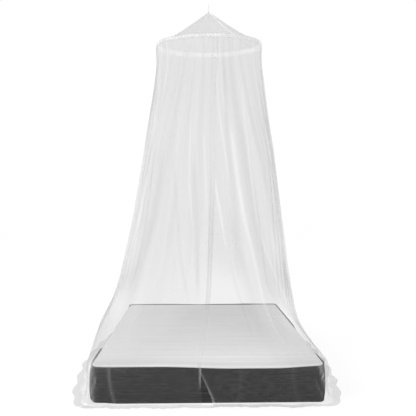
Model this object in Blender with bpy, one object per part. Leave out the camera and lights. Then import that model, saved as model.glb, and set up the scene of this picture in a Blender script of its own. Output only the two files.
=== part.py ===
"""A mosquito net canopy that hangs from its loop and falls over a double mattress.

Metres, +Z up. The origin is on the floor at the middle of the mattress's underside. The bed's
front faces -Y, and the canopy's slit is at the front.
"""

from math import asin, cos, pi, radians, sin, tan

import bmesh
import bpy
from mathutils import Vector

# Mattress
MATTRESS_WIDTH = 1.40
MATTRESS_LENGTH = 2.00
BORDER_HEIGHT = 0.213
PAD_HEIGHT = 0.017
MATTRESS_CORNER = 0.045
MATTRESS_BULGE = 0.006
PAD_INSET = 0.011
MATTRESS_HEIGHT = BORDER_HEIGHT + PAD_HEIGHT

# Hoop, which hangs a little off the bed's middle with its front and its left side lower
HOOP_OFFSET = 0.029
HOOP_HEIGHT = 2.401
HOOP_RADIUS = 0.400
HOOP_TILT = radians(5.9)
HOOP_LEAN = radians(0.7)
ROD_RADIUS = 0.004
CASING_HALF_WIDTH = 0.012
CASING_HALF_HEIGHT = 0.015
CASING_BORE = ROD_RADIUS + 0.0008
CASING_SLOT = radians(25)
CASING_PINCH = 0.10
CASING_OUTER_PINCH = 0.22
CASING_DIP = 0.08
CASING_GATHERS = (15, 22)
CASING_GATHER_SHIFT = 1.3

# Apex
APEX_HEIGHT = 2.655
KNOT_RADIUS = 0.0072
LOOP_TOP = 2.722
LOOP_FOOT = APEX_HEIGHT - 0.003
LOOP_START = 0.63
LOOP_WIDTH = 0.020
LOOP_NARROWING = 0.4
LOOP_CORD = 0.0018
TAPE_WIDTH = 0.010
TAPE_THICKNESS = 0.0012
TAPE_AZIMUTH = radians(27)
TAPE_COUNT = 4
TAPE_TIP_SHARE = 0.55

# Net
NET_THICKNESS = 0.002
CROWN_HOLE = KNOT_RADIUS + 0.0004
CROWN_RIM = HOOP_RADIUS - 0.004
CROWN_SEAT = 0.0142
CROWN_COLUMNS = 64
CROWN_ROWS = 7
CROWN_SAG = 0.016
CROWN_LEFT_SAG = 0.010
CROWN_SWAG = 0.005
CROWN_SAG_POWER = 0.6
EDGE_CLEARANCE = 0.0025
EDGE_HEIGHT = MATTRESS_HEIGHT + 0.007
EDGE_CORNER = 0.05
FRONT_FLOOR_REACH = 0.020
SIDE_FLOOR_REACH = 0.021
SIDE_BOW = 0.115
FLOOR_CORNER = 0.09
HEM_WIDTH = 0.050
LAP_LIFT = 0.007
COLUMNS_PER_FOLD = 5
TINY = 1e-9

# Gaps between pieces that touch
SEAM_GAP = 0.0004
TAPE_GAP = 0.0005

# The net from the hoop down to the mattress's edge, a row for each level: how far down it is and
# how far out on the right and on the left, as shares of the way from the hoop to the edge, and
# the depth of the folds.
UPPER_LEVELS = (
    # drop, right_out, left_out, fold_depth
    (0.00, 0.000, 0.000, 0.005),
    (0.05, -0.015, -0.020, 0.009),
    (0.13, 0.035, 0.020, 0.013),
    (0.25, 0.130, 0.125, 0.017),
    (0.38, 0.262, 0.230, 0.020),
    (0.50, 0.355, 0.335, 0.022),
    (0.62, 0.430, 0.450, 0.023),
    (0.74, 0.510, 0.605, 0.023),
    (0.84, 0.580, 0.750, 0.021),
    (0.92, 0.660, 0.945, 0.017),
    (0.97, 0.845, 0.985, 0.012),
    (1.00, 1.000, 1.000, 0.008),
)

# The net from the mattress's edge down to the floor. spread is the share of the way from the
# edge out to the line where the net meets the floor.
LOWER_LEVELS = (
    # height, spread, fold_depth
    (0.110, 0.05, 0.010),
    (0.040, 0.40, 0.015),
    (0.000, 1.00, 0.020),
)
HEM_FOLD_DEPTH = 0.022

# The front slit: where the left panel's leading edge ends and where the right panel's starts.
# The left panel laps over the right one down to the mattress, and they part below it.
SLIT = (
    # height, left_edge_x, right_edge_x
    (2.400, 0.095, 0.045),
    (1.840, 0.055, 0.018),
    (1.300, 0.052, 0.020),
    (0.750, 0.030, 0.000),
    (0.550, 0.016, -0.013),
    (0.400, -0.006, -0.036),
    (0.242, -0.037, -0.066),
    (0.150, -0.043, -0.034),
    (0.060, -0.042, 0.010),
    (0.000, -0.036, 0.028),
)

# The folds' ridges round the net, from the slit to the right: where each one starts at the hoop
# and ends at the hem, as shares of the way round, and its depth beside its level's.
RIDGES = (
    # top, bottom, depth
    (0.022, 0.036, 0.5),
    (0.047, 0.069, 1.0),
    (0.080, 0.103, 1.2),
    (0.114, 0.134, 0.7),
    (0.150, 0.166, 1.0),
    (0.187, 0.203, 0.8),
    (0.223, 0.236, 1.1),
    (0.258, 0.269, 0.8),
    (0.294, 0.302, 1.0),
    (0.330, 0.337, 0.8),
    (0.364, 0.368, 0.7),
    (0.396, 0.397, 1.2),
    (0.430, 0.424, 0.9),
    (0.463, 0.449, 1.0),
    (0.507, 0.478, 0.8),
    (0.556, 0.506, 1.1),
    (0.612, 0.534, 1.0),
    (0.648, 0.567, 0.7),
    (0.680, 0.603, 1.2),
    (0.713, 0.645, 0.8),
    (0.747, 0.688, 1.0),
    (0.782, 0.731, 0.8),
    (0.817, 0.774, 1.1),
    (0.852, 0.815, 0.8),
    (0.886, 0.857, 0.9),
    (0.918, 0.897, 1.2),
    (0.947, 0.930, 0.7),
    (0.974, 0.964, 0.6),
)

# The border's side, from the floor up, and the pad's rim above it
BORDER_PROFILE = (
    # height, inset
    (0.000, 0.026),
    (0.005, 0.013),
    (0.014, 0.005),
    (0.040, -0.003),
    (0.106, -MATTRESS_BULGE),
    (0.170, -0.003),
    (0.202, 0.003),
    (0.210, 0.009),
    (BORDER_HEIGHT, 0.018),
)
PAD_PROFILE = (
    # height above the border, inset
    (0.0003, 0.010),
    (0.0040, 0.002),
    (0.0090, 0.000),
    (0.0140, 0.003),
    (PAD_HEIGHT, 0.012),
)


def mix(a, b, share):
    return a + (b - a) * share


def smooth(share):
    share = min(max(share, 0.0), 1.0)
    return share * share * (3 - 2 * share)


def read_table(table, at):
    """A row's values at a height between those of a table that runs from high to low."""
    for upper, lower in zip(table, table[1:]):
        if at >= lower[0]:
            share = min((upper[0] - at) / (upper[0] - lower[0]), 1.0)
            return [mix(a, b, max(share, 0.0)) for a, b in zip(upper[1:], lower[1:])]
    return list(table[-1][1:])


# Scene and objects


def clear_scene():
    for item in list(bpy.data.objects):
        bpy.data.objects.remove(item, do_unlink=True)


def make_material(name, colour, roughness, metallic=0.0):
    material = bpy.data.materials.new(name)
    material.use_nodes = True
    shader = material.node_tree.nodes["Principled BSDF"]
    shader.inputs["Base Color"].default_value = (*colour, 1.0)
    shader.inputs["Roughness"].default_value = roughness
    shader.inputs["Metallic"].default_value = metallic
    return material


def add_object(name, mesh_data, material, parent=None):
    mesh = bpy.data.meshes.new(name)
    mesh_data.to_mesh(mesh)
    mesh_data.free()
    mesh.materials.append(material)
    mesh.shade_smooth()
    mesh.set_sharp_from_angle(angle=radians(40))
    item = bpy.data.objects.new(name, mesh)
    bpy.context.scene.collection.objects.link(item)
    item.parent = parent
    return item


def add_grid(shape, rows, closed):
    """Faces between rows of points. Where closed, each row's last point joins its first."""
    grid = [[shape.verts.new(point) for point in row] for row in rows]
    for lower, upper in zip(grid, grid[1:]):
        count = len(lower)
        for i in range(count if closed else count - 1):
            j = (i + 1) % count
            shape.faces.new((lower[i], lower[j], upper[j], upper[i]))
    return grid


def thicken(item, thickness):
    """Gives a sheet its thickness, on the side that its faces point to."""
    modifier = item.modifiers.new("Thickness", "SOLIDIFY")
    modifier.thickness = thickness
    modifier.offset = 1.0


# Outlines seen from above. share is the way round from the front's middle, rightwards first.


def rounded_rectangle(share, half_width, half_length, corner):
    """A point on a rectangle's outline, with its corners as arcs."""
    across = half_width - corner
    along = half_length - corner
    arc = corner * pi / 2
    pieces = (
        # length, start, direction of travel in quarter turns, arc's centre
        (across, (0, -half_length), 0, None),
        (arc, None, 0, (across, -along)),
        (2 * along, (half_width, -along), 1, None),
        (arc, None, 1, (across, along)),
        (2 * across, (across, half_length), 2, None),
        (arc, None, 2, (-across, along)),
        (2 * along, (-half_width, along), 3, None),
        (arc, None, 3, (-across, -along)),
        (across, (-across, -half_length), 0, None),
    )
    way = share % 1.0 * sum(piece[0] for piece in pieces)
    for length, start, quarter, centre in pieces:
        if way <= length + TINY:
            break
        way -= length
    heading = quarter * pi / 2
    if centre is None:
        return Vector((start[0] + way * cos(heading), start[1] + way * sin(heading)))
    angle = heading - pi / 2 + way / corner
    return Vector((centre[0] + corner * cos(angle), centre[1] + corner * sin(angle)))


def hoop_outline(share):
    angle = 2 * pi * share - pi / 2
    return Vector((HOOP_OFFSET + HOOP_RADIUS * cos(angle), HOOP_RADIUS * sin(angle)))


def edge_outline(share):
    """The line along which the net bends over the mattress."""
    half_width = MATTRESS_WIDTH / 2 + MATTRESS_BULGE + EDGE_CLEARANCE
    half_length = MATTRESS_LENGTH / 2 + MATTRESS_BULGE + EDGE_CLEARANCE
    return rounded_rectangle(share, half_width, half_length, EDGE_CORNER)


def bowed_outline(share, reach):
    """The mattress's outline moved out by reach and more at the sides, which bow out."""
    half_width = MATTRESS_WIDTH / 2 + SIDE_FLOOR_REACH + reach
    half_length = MATTRESS_LENGTH / 2 + FRONT_FLOOR_REACH + reach
    point = rounded_rectangle(share, half_width, half_length, FLOOR_CORNER + reach)
    bow = SIDE_BOW * (1 - (point.y / half_length) ** 2)
    point.x += bow * point.x / half_width
    return point


def floor_outline(share):
    return bowed_outline(share, 0.0)


def hem_outline(share):
    return bowed_outline(share, HEM_WIDTH)


def leftness(share):
    """From 0 at the middle of the right side to 1 at the middle of the left."""
    return (1 - sin(2 * pi * share)) / 2


def between(first, second, right_part, left_part):
    """The outline that lies part of the way from the first to the second."""

    def outline(share):
        return first(share).lerp(second(share), mix(right_part, left_part, leftness(share)))

    return outline


def outward(outline, share):
    """The direction straight out from an outline."""
    step = 0.002
    along = outline(share + step) - outline(share - step)
    return Vector((along.y, -along.x)).normalized()


def share_at_front(outline, x):
    """The share at which an outline's front reaches x."""
    step = 0.01
    left, right = outline(-step).x, outline(step).x
    return (x - (left + right) / 2) / (right - left) * 2 * step


# Net


def hoop_height(x, y):
    """The hoop's height above a place seen from above."""
    return HOOP_HEIGHT + tan(HOOP_TILT) * y + tan(HOOP_LEAN) * (x - HOOP_OFFSET)


def net_levels():
    """The net's levels from the hoop to the hem: outline, height at a share, fold depth."""
    levels = []
    below_casing = CASING_HALF_HEIGHT + SEAM_GAP
    for drop, right_out, left_out, depth in UPPER_LEVELS:
        outline = between(hoop_outline, edge_outline, right_out, left_out)

        def height(share, drop=drop):
            start = hoop_height(*hoop_outline(share)) - below_casing
            return mix(start, EDGE_HEIGHT, drop)

        levels.append((outline, height, depth))
    for level_height, spread, depth in LOWER_LEVELS:
        outline = between(edge_outline, floor_outline, spread, spread)
        levels.append((outline, lambda share, z=level_height: z, depth))
    levels.append((hem_outline, lambda share: 0.0, HEM_FOLD_DEPTH))
    return levels


def net_row(outline, height, fold_depth):
    """One level's points, from the right panel's leading edge round to the left panel's."""
    front = height(0.0)
    fall = (HOOP_HEIGHT - front) / HOOP_HEIGHT
    left_x, right_x = read_table(SLIT, front)
    ridges = [(share_at_front(outline, right_x), 0.0)]
    ridges += [(mix(top, bottom, fall), depth) for top, bottom, depth in RIDGES]
    ridges += [(1 + share_at_front(outline, left_x), 0.0)]
    last = len(ridges) - 2
    points = []
    for i, (ridge, following) in enumerate(zip(ridges, ridges[1:])):
        steps = COLUMNS_PER_FOLD + (i == last)
        for j in range(steps):
            part = j / COLUMNS_PER_FOLD
            share = mix(ridge[0], following[0], part)
            depth = mix(ridge[1], following[1], part) * cos(pi * part) ** 2
            lap = LAP_LIFT * smooth(part + i - last + 1)
            plan = outline(share) + outward(outline, share) * (depth * fold_depth + lap)
            points.append((plan.x, plan.y, height(share)))
    return points


def build_skirt(material, parent):
    shape = bmesh.new()
    rows = [net_row(*level) for level in net_levels()]
    add_grid(shape, rows[::-1], closed=False)
    bmesh.ops.triangulate(shape, faces=shape.faces[:])
    skirt = add_object("skirt", shape, material, parent)
    thicken(skirt, NET_THICKNESS)


def crown_point(azimuth, climb):
    """A point on the crown's inner face, climb being the share of the way up to the apex."""
    radius = mix(CROWN_RIM, CROWN_HOLE, climb)
    x, y = HOOP_OFFSET + radius * cos(azimuth), radius * sin(azimuth)
    rim_x, rim_y = HOOP_OFFSET + CROWN_RIM * cos(azimuth), CROWN_RIM * sin(azimuth)
    rim = hoop_height(rim_x, rim_y) + CROWN_SEAT
    between_tapes = (1 - cos(TAPE_COUNT * (azimuth - TAPE_AZIMUTH))) / 2
    leftward = max(-cos(azimuth), 0)
    sag = CROWN_SAG + CROWN_SWAG * between_tapes + CROWN_LEFT_SAG * leftward
    hang = sin(pi * climb ** CROWN_SAG_POWER)
    return Vector((x, y, mix(rim, APEX_HEIGHT, climb) - sag * hang))


def build_crown(material, parent):
    shape = bmesh.new()
    turns = [TAPE_AZIMUTH + 2 * pi * i / CROWN_COLUMNS for i in range(CROWN_COLUMNS)]
    climbs = [j / (CROWN_ROWS - 1) for j in range(CROWN_ROWS)]
    rings = [[crown_point(turn, climb) for turn in turns] for climb in climbs]
    add_grid(shape, rings, closed=True)
    bmesh.ops.triangulate(shape, faces=shape.faces[:])
    crown = add_object("crown", shape, material, parent)
    thicken(crown, NET_THICKNESS)


# Hoop, casing, tapes and loop


def ring_point(angle, out, up):
    """A point beside the hoop's centre line, out from it and up from it."""
    radius = HOOP_RADIUS + out
    x, y = HOOP_OFFSET + radius * cos(angle), radius * sin(angle)
    return (x, y, hoop_height(x, y) + up)


def build_hoop(material, parent):
    columns, sides = 60, 6
    shape = bmesh.new()
    rings = []
    for j in range(sides + 1):
        turn = 2 * pi * (j % sides) / sides
        out, up = ROD_RADIUS * cos(turn), ROD_RADIUS * sin(turn)
        rings.append([ring_point(2 * pi * i / columns, out, up) for i in range(columns)])
    grid = add_grid(shape, rings, closed=True)
    doubles = dict(zip(grid[-1], grid[0]))
    bmesh.ops.weld_verts(shape, targetmap=doubles)
    bmesh.ops.recalc_face_normals(shape, faces=shape.faces[:])
    add_object("hoop", shape, material, parent)


def gather(angle):
    """How far the casing's gathers draw it in, from 0 to 1."""
    first, second = CASING_GATHERS
    return (2 + cos(first * angle) + cos(second * angle + CASING_GATHER_SHIFT)) / 4


def build_casing(material, parent):
    """A gathered sleeve round the hoop, open along its underside."""
    columns, outer_points, bore_points = 60, 11, 6
    shape = bmesh.new()
    down = -pi / 2
    rings = []
    for j in range(outer_points):
        turn = mix(down + CASING_SLOT / 2, down + 2 * pi - CASING_SLOT / 2, j / (outer_points - 1))
        ring = []
        for i in range(columns):
            angle = 2 * pi * i / columns
            pinch = (CASING_PINCH + CASING_OUTER_PINCH * max(cos(turn), 0)) * gather(angle)
            out = CASING_HALF_WIDTH * cos(turn) * (1 - pinch)
            up = CASING_HALF_HEIGHT * sin(turn) * (1 - CASING_DIP * gather(angle))
            ring.append(ring_point(angle, out, up))
        rings.append(ring)
    half_mouth = CASING_HALF_WIDTH * sin(CASING_SLOT / 2)
    mouth = asin(half_mouth / CASING_BORE)
    for j in range(bore_points):
        turn = mix(down + 2 * pi - mouth, down + mouth, j / (bore_points - 1))
        out, up = CASING_BORE * cos(turn), CASING_BORE * sin(turn)
        rings.append([ring_point(2 * pi * i / columns, out, up) for i in range(columns)])
    rings.append(rings[0])
    grid = add_grid(shape, rings, closed=True)
    bmesh.ops.weld_verts(shape, targetmap=dict(zip(grid[-1], grid[0])))
    bmesh.ops.recalc_face_normals(shape, faces=shape.faces[:])
    add_object("casing", shape, material, parent)


def build_tape(number, material, parent):
    """A flat strip that lies on the crown from the casing to the knot."""
    azimuth = TAPE_AZIMUTH + 2 * pi * number / TAPE_COUNT
    beside = 2 * pi / CROWN_COLUMNS
    step = 1 / (CROWN_ROWS - 1)
    tip = (CROWN_RIM - KNOT_RADIUS - TAPE_GAP) / (CROWN_RIM - CROWN_HOLE)
    climbs = [step * j for j in range(CROWN_ROWS - 1)] + [tip]
    shape = bmesh.new()
    sections = []
    for climb in climbs:
        point = crown_point(azimuth, climb)
        ahead = crown_point(azimuth, min(climb + step, 1.0))
        behind = crown_point(azimuth, max(climb - step, 0.0))
        across = crown_point(azimuth - beside, climb) - crown_point(azimuth + beside, climb)
        normal = (ahead - behind).cross(across).normalized()
        if normal.z < 0:
            normal = -normal
        half_width = TAPE_WIDTH / 2 * mix(1.0, TAPE_TIP_SHARE, climb)
        side = across.normalized() * half_width
        under = point + normal * (NET_THICKNESS + TAPE_GAP)
        over = under + normal * TAPE_THICKNESS
        corners = (under - side, under + side, over + side, over - side)
        sections.append([shape.verts.new(corner) for corner in corners])
    for low, high in zip(sections, sections[1:]):
        for i in range(4):
            j = (i + 1) % 4
            shape.faces.new((low[i], low[j], high[j], high[i]))
    shape.faces.new(sections[0])
    shape.faces.new(sections[-1])
    bmesh.ops.recalc_face_normals(shape, faces=shape.faces[:])
    add_object(f"tape_{number + 1}", shape, material, parent)


def loop_point(turn):
    """A point on the loop's centre line, a drop shape in the Y-Z plane with its foot down."""
    height = (1 - cos(turn)) / 2
    narrowing = mix(1 - LOOP_NARROWING, 1.0, height)
    half_width = (LOOP_WIDTH / 2 - LOOP_CORD) * sin(turn) * narrowing
    return Vector((HOOP_OFFSET, half_width, mix(LOOP_FOOT, LOOP_TOP - LOOP_CORD, height)))


def build_hanging_loop(material, parent):
    """The cord loop, whose two ends are sewn into the knot that fills the crown's hole."""
    steps, sides = 24, 6
    shape = bmesh.new()
    turns = [mix(LOOP_START, 2 * pi - LOOP_START, i / steps) for i in range(steps + 1)]
    across = Vector((1, 0, 0))
    rows = []
    for turn in turns:
        along = (loop_point(turn + 0.01) - loop_point(turn - 0.01)).normalized()
        out = along.cross(across)
        sweep = [2 * pi * j / sides for j in range(sides)]
        centre = loop_point(turn)
        rows.append([centre + (across * cos(a) + out * sin(a)) * LOOP_CORD for a in sweep])
    grid = add_grid(shape, rows, closed=True)
    shape.faces.new(grid[0][::-1])
    shape.faces.new(grid[-1])
    bmesh.ops.recalc_face_normals(shape, faces=shape.faces[:])
    loop = add_object("hanging_loop", shape, material, parent)

    knot_shape = bmesh.new()
    bmesh.ops.create_uvsphere(knot_shape, u_segments=12, v_segments=8, radius=KNOT_RADIUS)
    centre = Vector((HOOP_OFFSET, 0, APEX_HEIGHT + NET_THICKNESS))
    bmesh.ops.translate(knot_shape, verts=knot_shape.verts[:], vec=centre)
    knot = add_object("knot_shape", knot_shape, material)
    knot.hide_render = True
    knot.display_type = "WIRE"

    join = loop.modifiers.new("Knot", "BOOLEAN")
    join.operation = "UNION"
    join.object = knot


# Mattress


def mattress_loop(inset, height):
    """One level of the mattress's outline, with a point at every few degrees of its corners."""
    corner = max(MATTRESS_CORNER - inset, 0.02)
    across = MATTRESS_WIDTH / 2 - inset - corner
    along = MATTRESS_LENGTH / 2 - inset - corner
    arc_steps = 6
    points = []
    for quarter, (right, far) in enumerate(((1, -1), (1, 1), (-1, 1), (-1, -1))):
        for i in range(arc_steps + 1):
            angle = (quarter - 1 + i / arc_steps) * pi / 2
            x = right * across + corner * cos(angle)
            y = far * along + corner * sin(angle)
            points.append((x, y, height))
    return points


def build_mattress_piece(name, profile, base, inset, material, parent):
    shape = bmesh.new()
    rings = [mattress_loop(inset + draw_in, base + height) for height, draw_in in profile]
    grid = add_grid(shape, rings, closed=True)
    shape.faces.new(grid[0][::-1])
    shape.faces.new(grid[-1])
    add_object(name, shape, material, parent)


def main():
    clear_scene()
    net = make_material("White netting", (0.86, 0.87, 0.87), 0.75)
    webbing = make_material("White tape", (0.88, 0.88, 0.87), 0.70)
    plastic = make_material("White hoop rod", (0.84, 0.85, 0.85), 0.45)
    border = make_material("Charcoal knitted border", (0.045, 0.046, 0.048), 0.85)
    pad = make_material("Pale knitted top", (0.66, 0.66, 0.65), 0.85)

    bed = bpy.data.objects.new("bed_place", None)
    canopy = bpy.data.objects.new("canopy_place", None)
    for place in (bed, canopy):
        bpy.context.scene.collection.objects.link(place)

    build_mattress_piece("mattress_border", BORDER_PROFILE, 0.0, 0.0, border, bed)
    build_mattress_piece("mattress_pad", PAD_PROFILE, BORDER_HEIGHT, PAD_INSET, pad, bed)
    build_skirt(net, canopy)
    build_crown(net, canopy)
    build_hoop(plastic, canopy)
    build_casing(net, canopy)
    for number in range(TAPE_COUNT):
        build_tape(number, webbing, canopy)
    build_hanging_loop(webbing, canopy)


main()
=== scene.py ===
"""Dresses a mosquito net canopy and the mattress that it falls over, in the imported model's frame.

Metres, +Z up. The bed's front faces -Y. The net's shape repeats the solid's levels and folds, and
the fine folds and gathers are added to them here.
"""

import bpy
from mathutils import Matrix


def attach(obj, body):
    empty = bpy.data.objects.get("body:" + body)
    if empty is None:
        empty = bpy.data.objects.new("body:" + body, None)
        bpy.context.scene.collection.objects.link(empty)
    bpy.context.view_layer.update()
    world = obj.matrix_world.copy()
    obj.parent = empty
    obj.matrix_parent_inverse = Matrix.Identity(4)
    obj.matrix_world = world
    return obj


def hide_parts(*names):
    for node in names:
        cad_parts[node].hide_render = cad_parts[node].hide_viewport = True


bl_info = {
    "name": "Mosquito Net Canopy",
    "version": (1, 0, 0),
    "blender": (4, 5, 0),
    "location": "3D View > Sidebar > Canopy",
    "description": "Builds the cloth, trim and finish of a net canopy over a mattress",
    "category": "Object",
}

from math import cos, pi, radians, sin, tan

import bpy
import numpy as np
from bpy.props import FloatProperty, FloatVectorProperty, IntProperty, PointerProperty
from mathutils import Vector

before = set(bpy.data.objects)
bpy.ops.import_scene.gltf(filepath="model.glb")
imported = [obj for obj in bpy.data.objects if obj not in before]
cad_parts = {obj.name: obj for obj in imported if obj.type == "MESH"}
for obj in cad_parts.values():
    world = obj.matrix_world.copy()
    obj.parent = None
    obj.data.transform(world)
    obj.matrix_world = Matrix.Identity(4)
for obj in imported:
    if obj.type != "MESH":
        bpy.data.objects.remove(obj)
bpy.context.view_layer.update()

# Mattress, as in the solids
MATTRESS_WIDTH = 1.40
MATTRESS_LENGTH = 2.00
BORDER_HEIGHT = 0.213
PAD_HEIGHT = 0.017
MATTRESS_CORNER = 0.045
MATTRESS_BULGE = 0.006
PAD_INSET = 0.011
MATTRESS_HEIGHT = BORDER_HEIGHT + PAD_HEIGHT

# Hoop and casing, as in the solids
HOOP_OFFSET = 0.029
HOOP_HEIGHT = 2.401
HOOP_RADIUS = 0.400
HOOP_TILT = radians(5.9)
HOOP_LEAN = radians(0.7)
ROD_RADIUS = 0.004
CASING_HALF_WIDTH = 0.012
CASING_HALF_HEIGHT = 0.015

# Apex, as in the solids
APEX_HEIGHT = 2.655
KNOT_RADIUS = 0.0072
LOOP_TOP = 2.722
LOOP_FOOT = APEX_HEIGHT - 0.003
LOOP_START = 0.63
LOOP_WIDTH = 0.020
LOOP_NARROWING = 0.4
LOOP_CORD = 0.0018
TAPE_WIDTH = 0.010
TAPE_THICKNESS = 0.0012
TAPE_AZIMUTH = radians(27)
TAPE_COUNT = 4
TAPE_GAP = 0.0005
TAPE_TIP_SHARE = 0.55

# Net, as in the solids
NET_THICKNESS = 0.002
CROWN_HOLE = KNOT_RADIUS + 0.0004
CROWN_RIM = HOOP_RADIUS - 0.004
CROWN_SEAT = 0.0142
CROWN_SAG = 0.016
CROWN_LEFT_SAG = 0.010
CROWN_SWAG = 0.005
CROWN_SAG_POWER = 0.6
EDGE_CLEARANCE = 0.0025
EDGE_HEIGHT = MATTRESS_HEIGHT + 0.007
EDGE_CORNER = 0.05
FRONT_FLOOR_REACH = 0.020
SIDE_FLOOR_REACH = 0.021
SIDE_BOW = 0.115
FLOOR_CORNER = 0.09
HEM_WIDTH = 0.050
LAP_LIFT = 0.007
SEAM_GAP = 0.0004

# The net's hems, the lap at its slit, and how it lies on the floor
HEM_TURNING = 0.014
LAP_WIDTH = 0.040
FOOT_LAP = 0.070
FLOOR_LIFT = 0.0008
LUMP_HEIGHT = 0.0035
LUMP_UNEVENNESS = 0.0030
SHEET_CLEARANCE = NET_THICKNESS / 2 + 0.0008

# How far the net's fine folds stand out, and how far in they may go
GATHER_HEIGHT = 0.0022
LOOSE_HEIGHT = 0.0020
WAVE_HEIGHT = 0.0012
INWARD_LIMIT = 0.0016
RIM_PLEAT = 0.0011
TIP_PLEAT = 0.0006
CROWN_LIFT = NET_THICKNESS / 2 + 0.0003

# How far a crease wanders from its path, as a share of the way round
CREASE_WANDER = 0.0015

# Where the lap passes in front of the mattress's top, as shares of the net's fall
TOP_STARTS = 0.73
TOP_ENDS = 0.89

# Cloth laid flat: width and length, the area where the panels aren't rectangles, and the way up
# the crown's slant
SKIRT_FLAT = (8.5, 2.6)
CROWN_SLANT = 0.47
CASING_FLAT = (3.0, 0.085)

# Trim that the solids leave out
KNOT_CORD = 0.0012
KNOT_WRAPS = 6
LOOP_TWISTS = 26
STITCH_THICKNESS = 0.0007
STITCH_INSET = 0.0012
STITCH_LIFT = 0.0009
STITCHES_PER_EDGE = 60

# The angle that the sleeve's slot takes up, under the hoop
CASING_SLOT = radians(25)

# The distance between a wave texture's bands at a scale of 1
BAND_SPACING = 0.314

# The distance between the ridges of the tapes' twill
TWILL_PITCH = 0.0016

# Shorter than any length here
TINY = 1e-9

# Stage: the floor and its glow, how bright the sky is as a light and as the camera sees it, the
# lamps and the camera
FLOOR_HALF_WIDTH = 60.0
FLOOR_HEIGHT = -0.001
FLOOR_GLOW = 0.76
SKY_LIGHT = 0.86
SKY_SEEN = 1.0
LAMPS = (
    # name, width, height, watts, place, where it aims
    ("softbox", 2.4, 1.8, 60.0, (-3.6, -2.6, 3.0), (0.0, 0.0, 0.6)),
    ("front_fill", 3.0, 2.0, 55.0, (0.6, -5.4, 1.3), (0.0, 0.0, 1.9)),
)
CAMERA_LENS = 47.29
CAMERA_SENSOR = 36.0
CAMERA_PLACE = (-0.078, -4.22, 1.158)
CAMERA_REACH = 200.0
CAMERA_TURN = (radians(90 - 0.105), 0.0, radians(-1.37))

# The net's levels, as in the solids: from the hoop down to the mattress's edge, with how far out
# each one is on the right and on the left, and then from that edge to the floor
UPPER_LEVELS = (
    # drop, right_out, left_out, fold_depth
    (0.00, 0.000, 0.000, 0.005),
    (0.05, -0.015, -0.020, 0.009),
    (0.13, 0.035, 0.020, 0.013),
    (0.25, 0.130, 0.125, 0.017),
    (0.38, 0.262, 0.230, 0.020),
    (0.50, 0.355, 0.335, 0.022),
    (0.62, 0.430, 0.450, 0.023),
    (0.74, 0.510, 0.605, 0.023),
    (0.84, 0.580, 0.750, 0.021),
    (0.92, 0.660, 0.945, 0.017),
    (0.97, 0.845, 0.985, 0.012),
    (1.00, 1.000, 1.000, 0.008),
)
LOWER_LEVELS = (
    # height, spread, fold_depth
    (0.110, 0.05, 0.010),
    (0.040, 0.40, 0.015),
    (0.000, 1.00, 0.020),
)
HEM_FOLD_DEPTH = 0.022
SLIT = (
    # height, left_edge_x, right_edge_x
    (2.400, 0.095, 0.045),
    (1.840, 0.055, 0.018),
    (1.300, 0.052, 0.020),
    (0.750, 0.030, 0.000),
    (0.550, 0.016, -0.013),
    (0.400, -0.006, -0.036),
    (0.242, -0.037, -0.066),
    (0.150, -0.043, -0.034),
    (0.060, -0.042, 0.010),
    (0.000, -0.036, 0.028),
)
RIDGES = (
    # top, bottom, depth
    (0.022, 0.036, 0.5),
    (0.047, 0.069, 1.0),
    (0.080, 0.103, 1.2),
    (0.114, 0.134, 0.7),
    (0.150, 0.166, 1.0),
    (0.187, 0.203, 0.8),
    (0.223, 0.236, 1.1),
    (0.258, 0.269, 0.8),
    (0.294, 0.302, 1.0),
    (0.330, 0.337, 0.8),
    (0.364, 0.368, 0.7),
    (0.396, 0.397, 1.2),
    (0.430, 0.424, 0.9),
    (0.463, 0.449, 1.0),
    (0.507, 0.478, 0.8),
    (0.556, 0.506, 1.1),
    (0.612, 0.534, 1.0),
    (0.648, 0.567, 0.7),
    (0.680, 0.603, 1.2),
    (0.713, 0.645, 0.8),
    (0.747, 0.688, 1.0),
    (0.782, 0.731, 0.8),
    (0.817, 0.774, 1.1),
    (0.852, 0.815, 0.8),
    (0.886, 0.857, 0.9),
    (0.918, 0.897, 1.2),
    (0.947, 0.930, 0.7),
    (0.974, 0.964, 0.6),
)

# How far down the net stays milky from its gathers, as a share of its fall, at shares of the way
# round. Below that it opens out.
MILKY_REACH = (
    # share, fall
    (0.000, 0.57),
    (0.035, 0.60),
    (0.060, 0.82),
    (0.160, 0.94),
    (0.300, 0.80),
    (0.500, 0.66),
    (0.700, 0.80),
    (0.860, 0.92),
    (0.915, 0.88),
    (0.960, 0.80),
    (0.985, 0.71),
    (1.000, 0.59),
)
MILKY_FADE = 0.26

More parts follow.
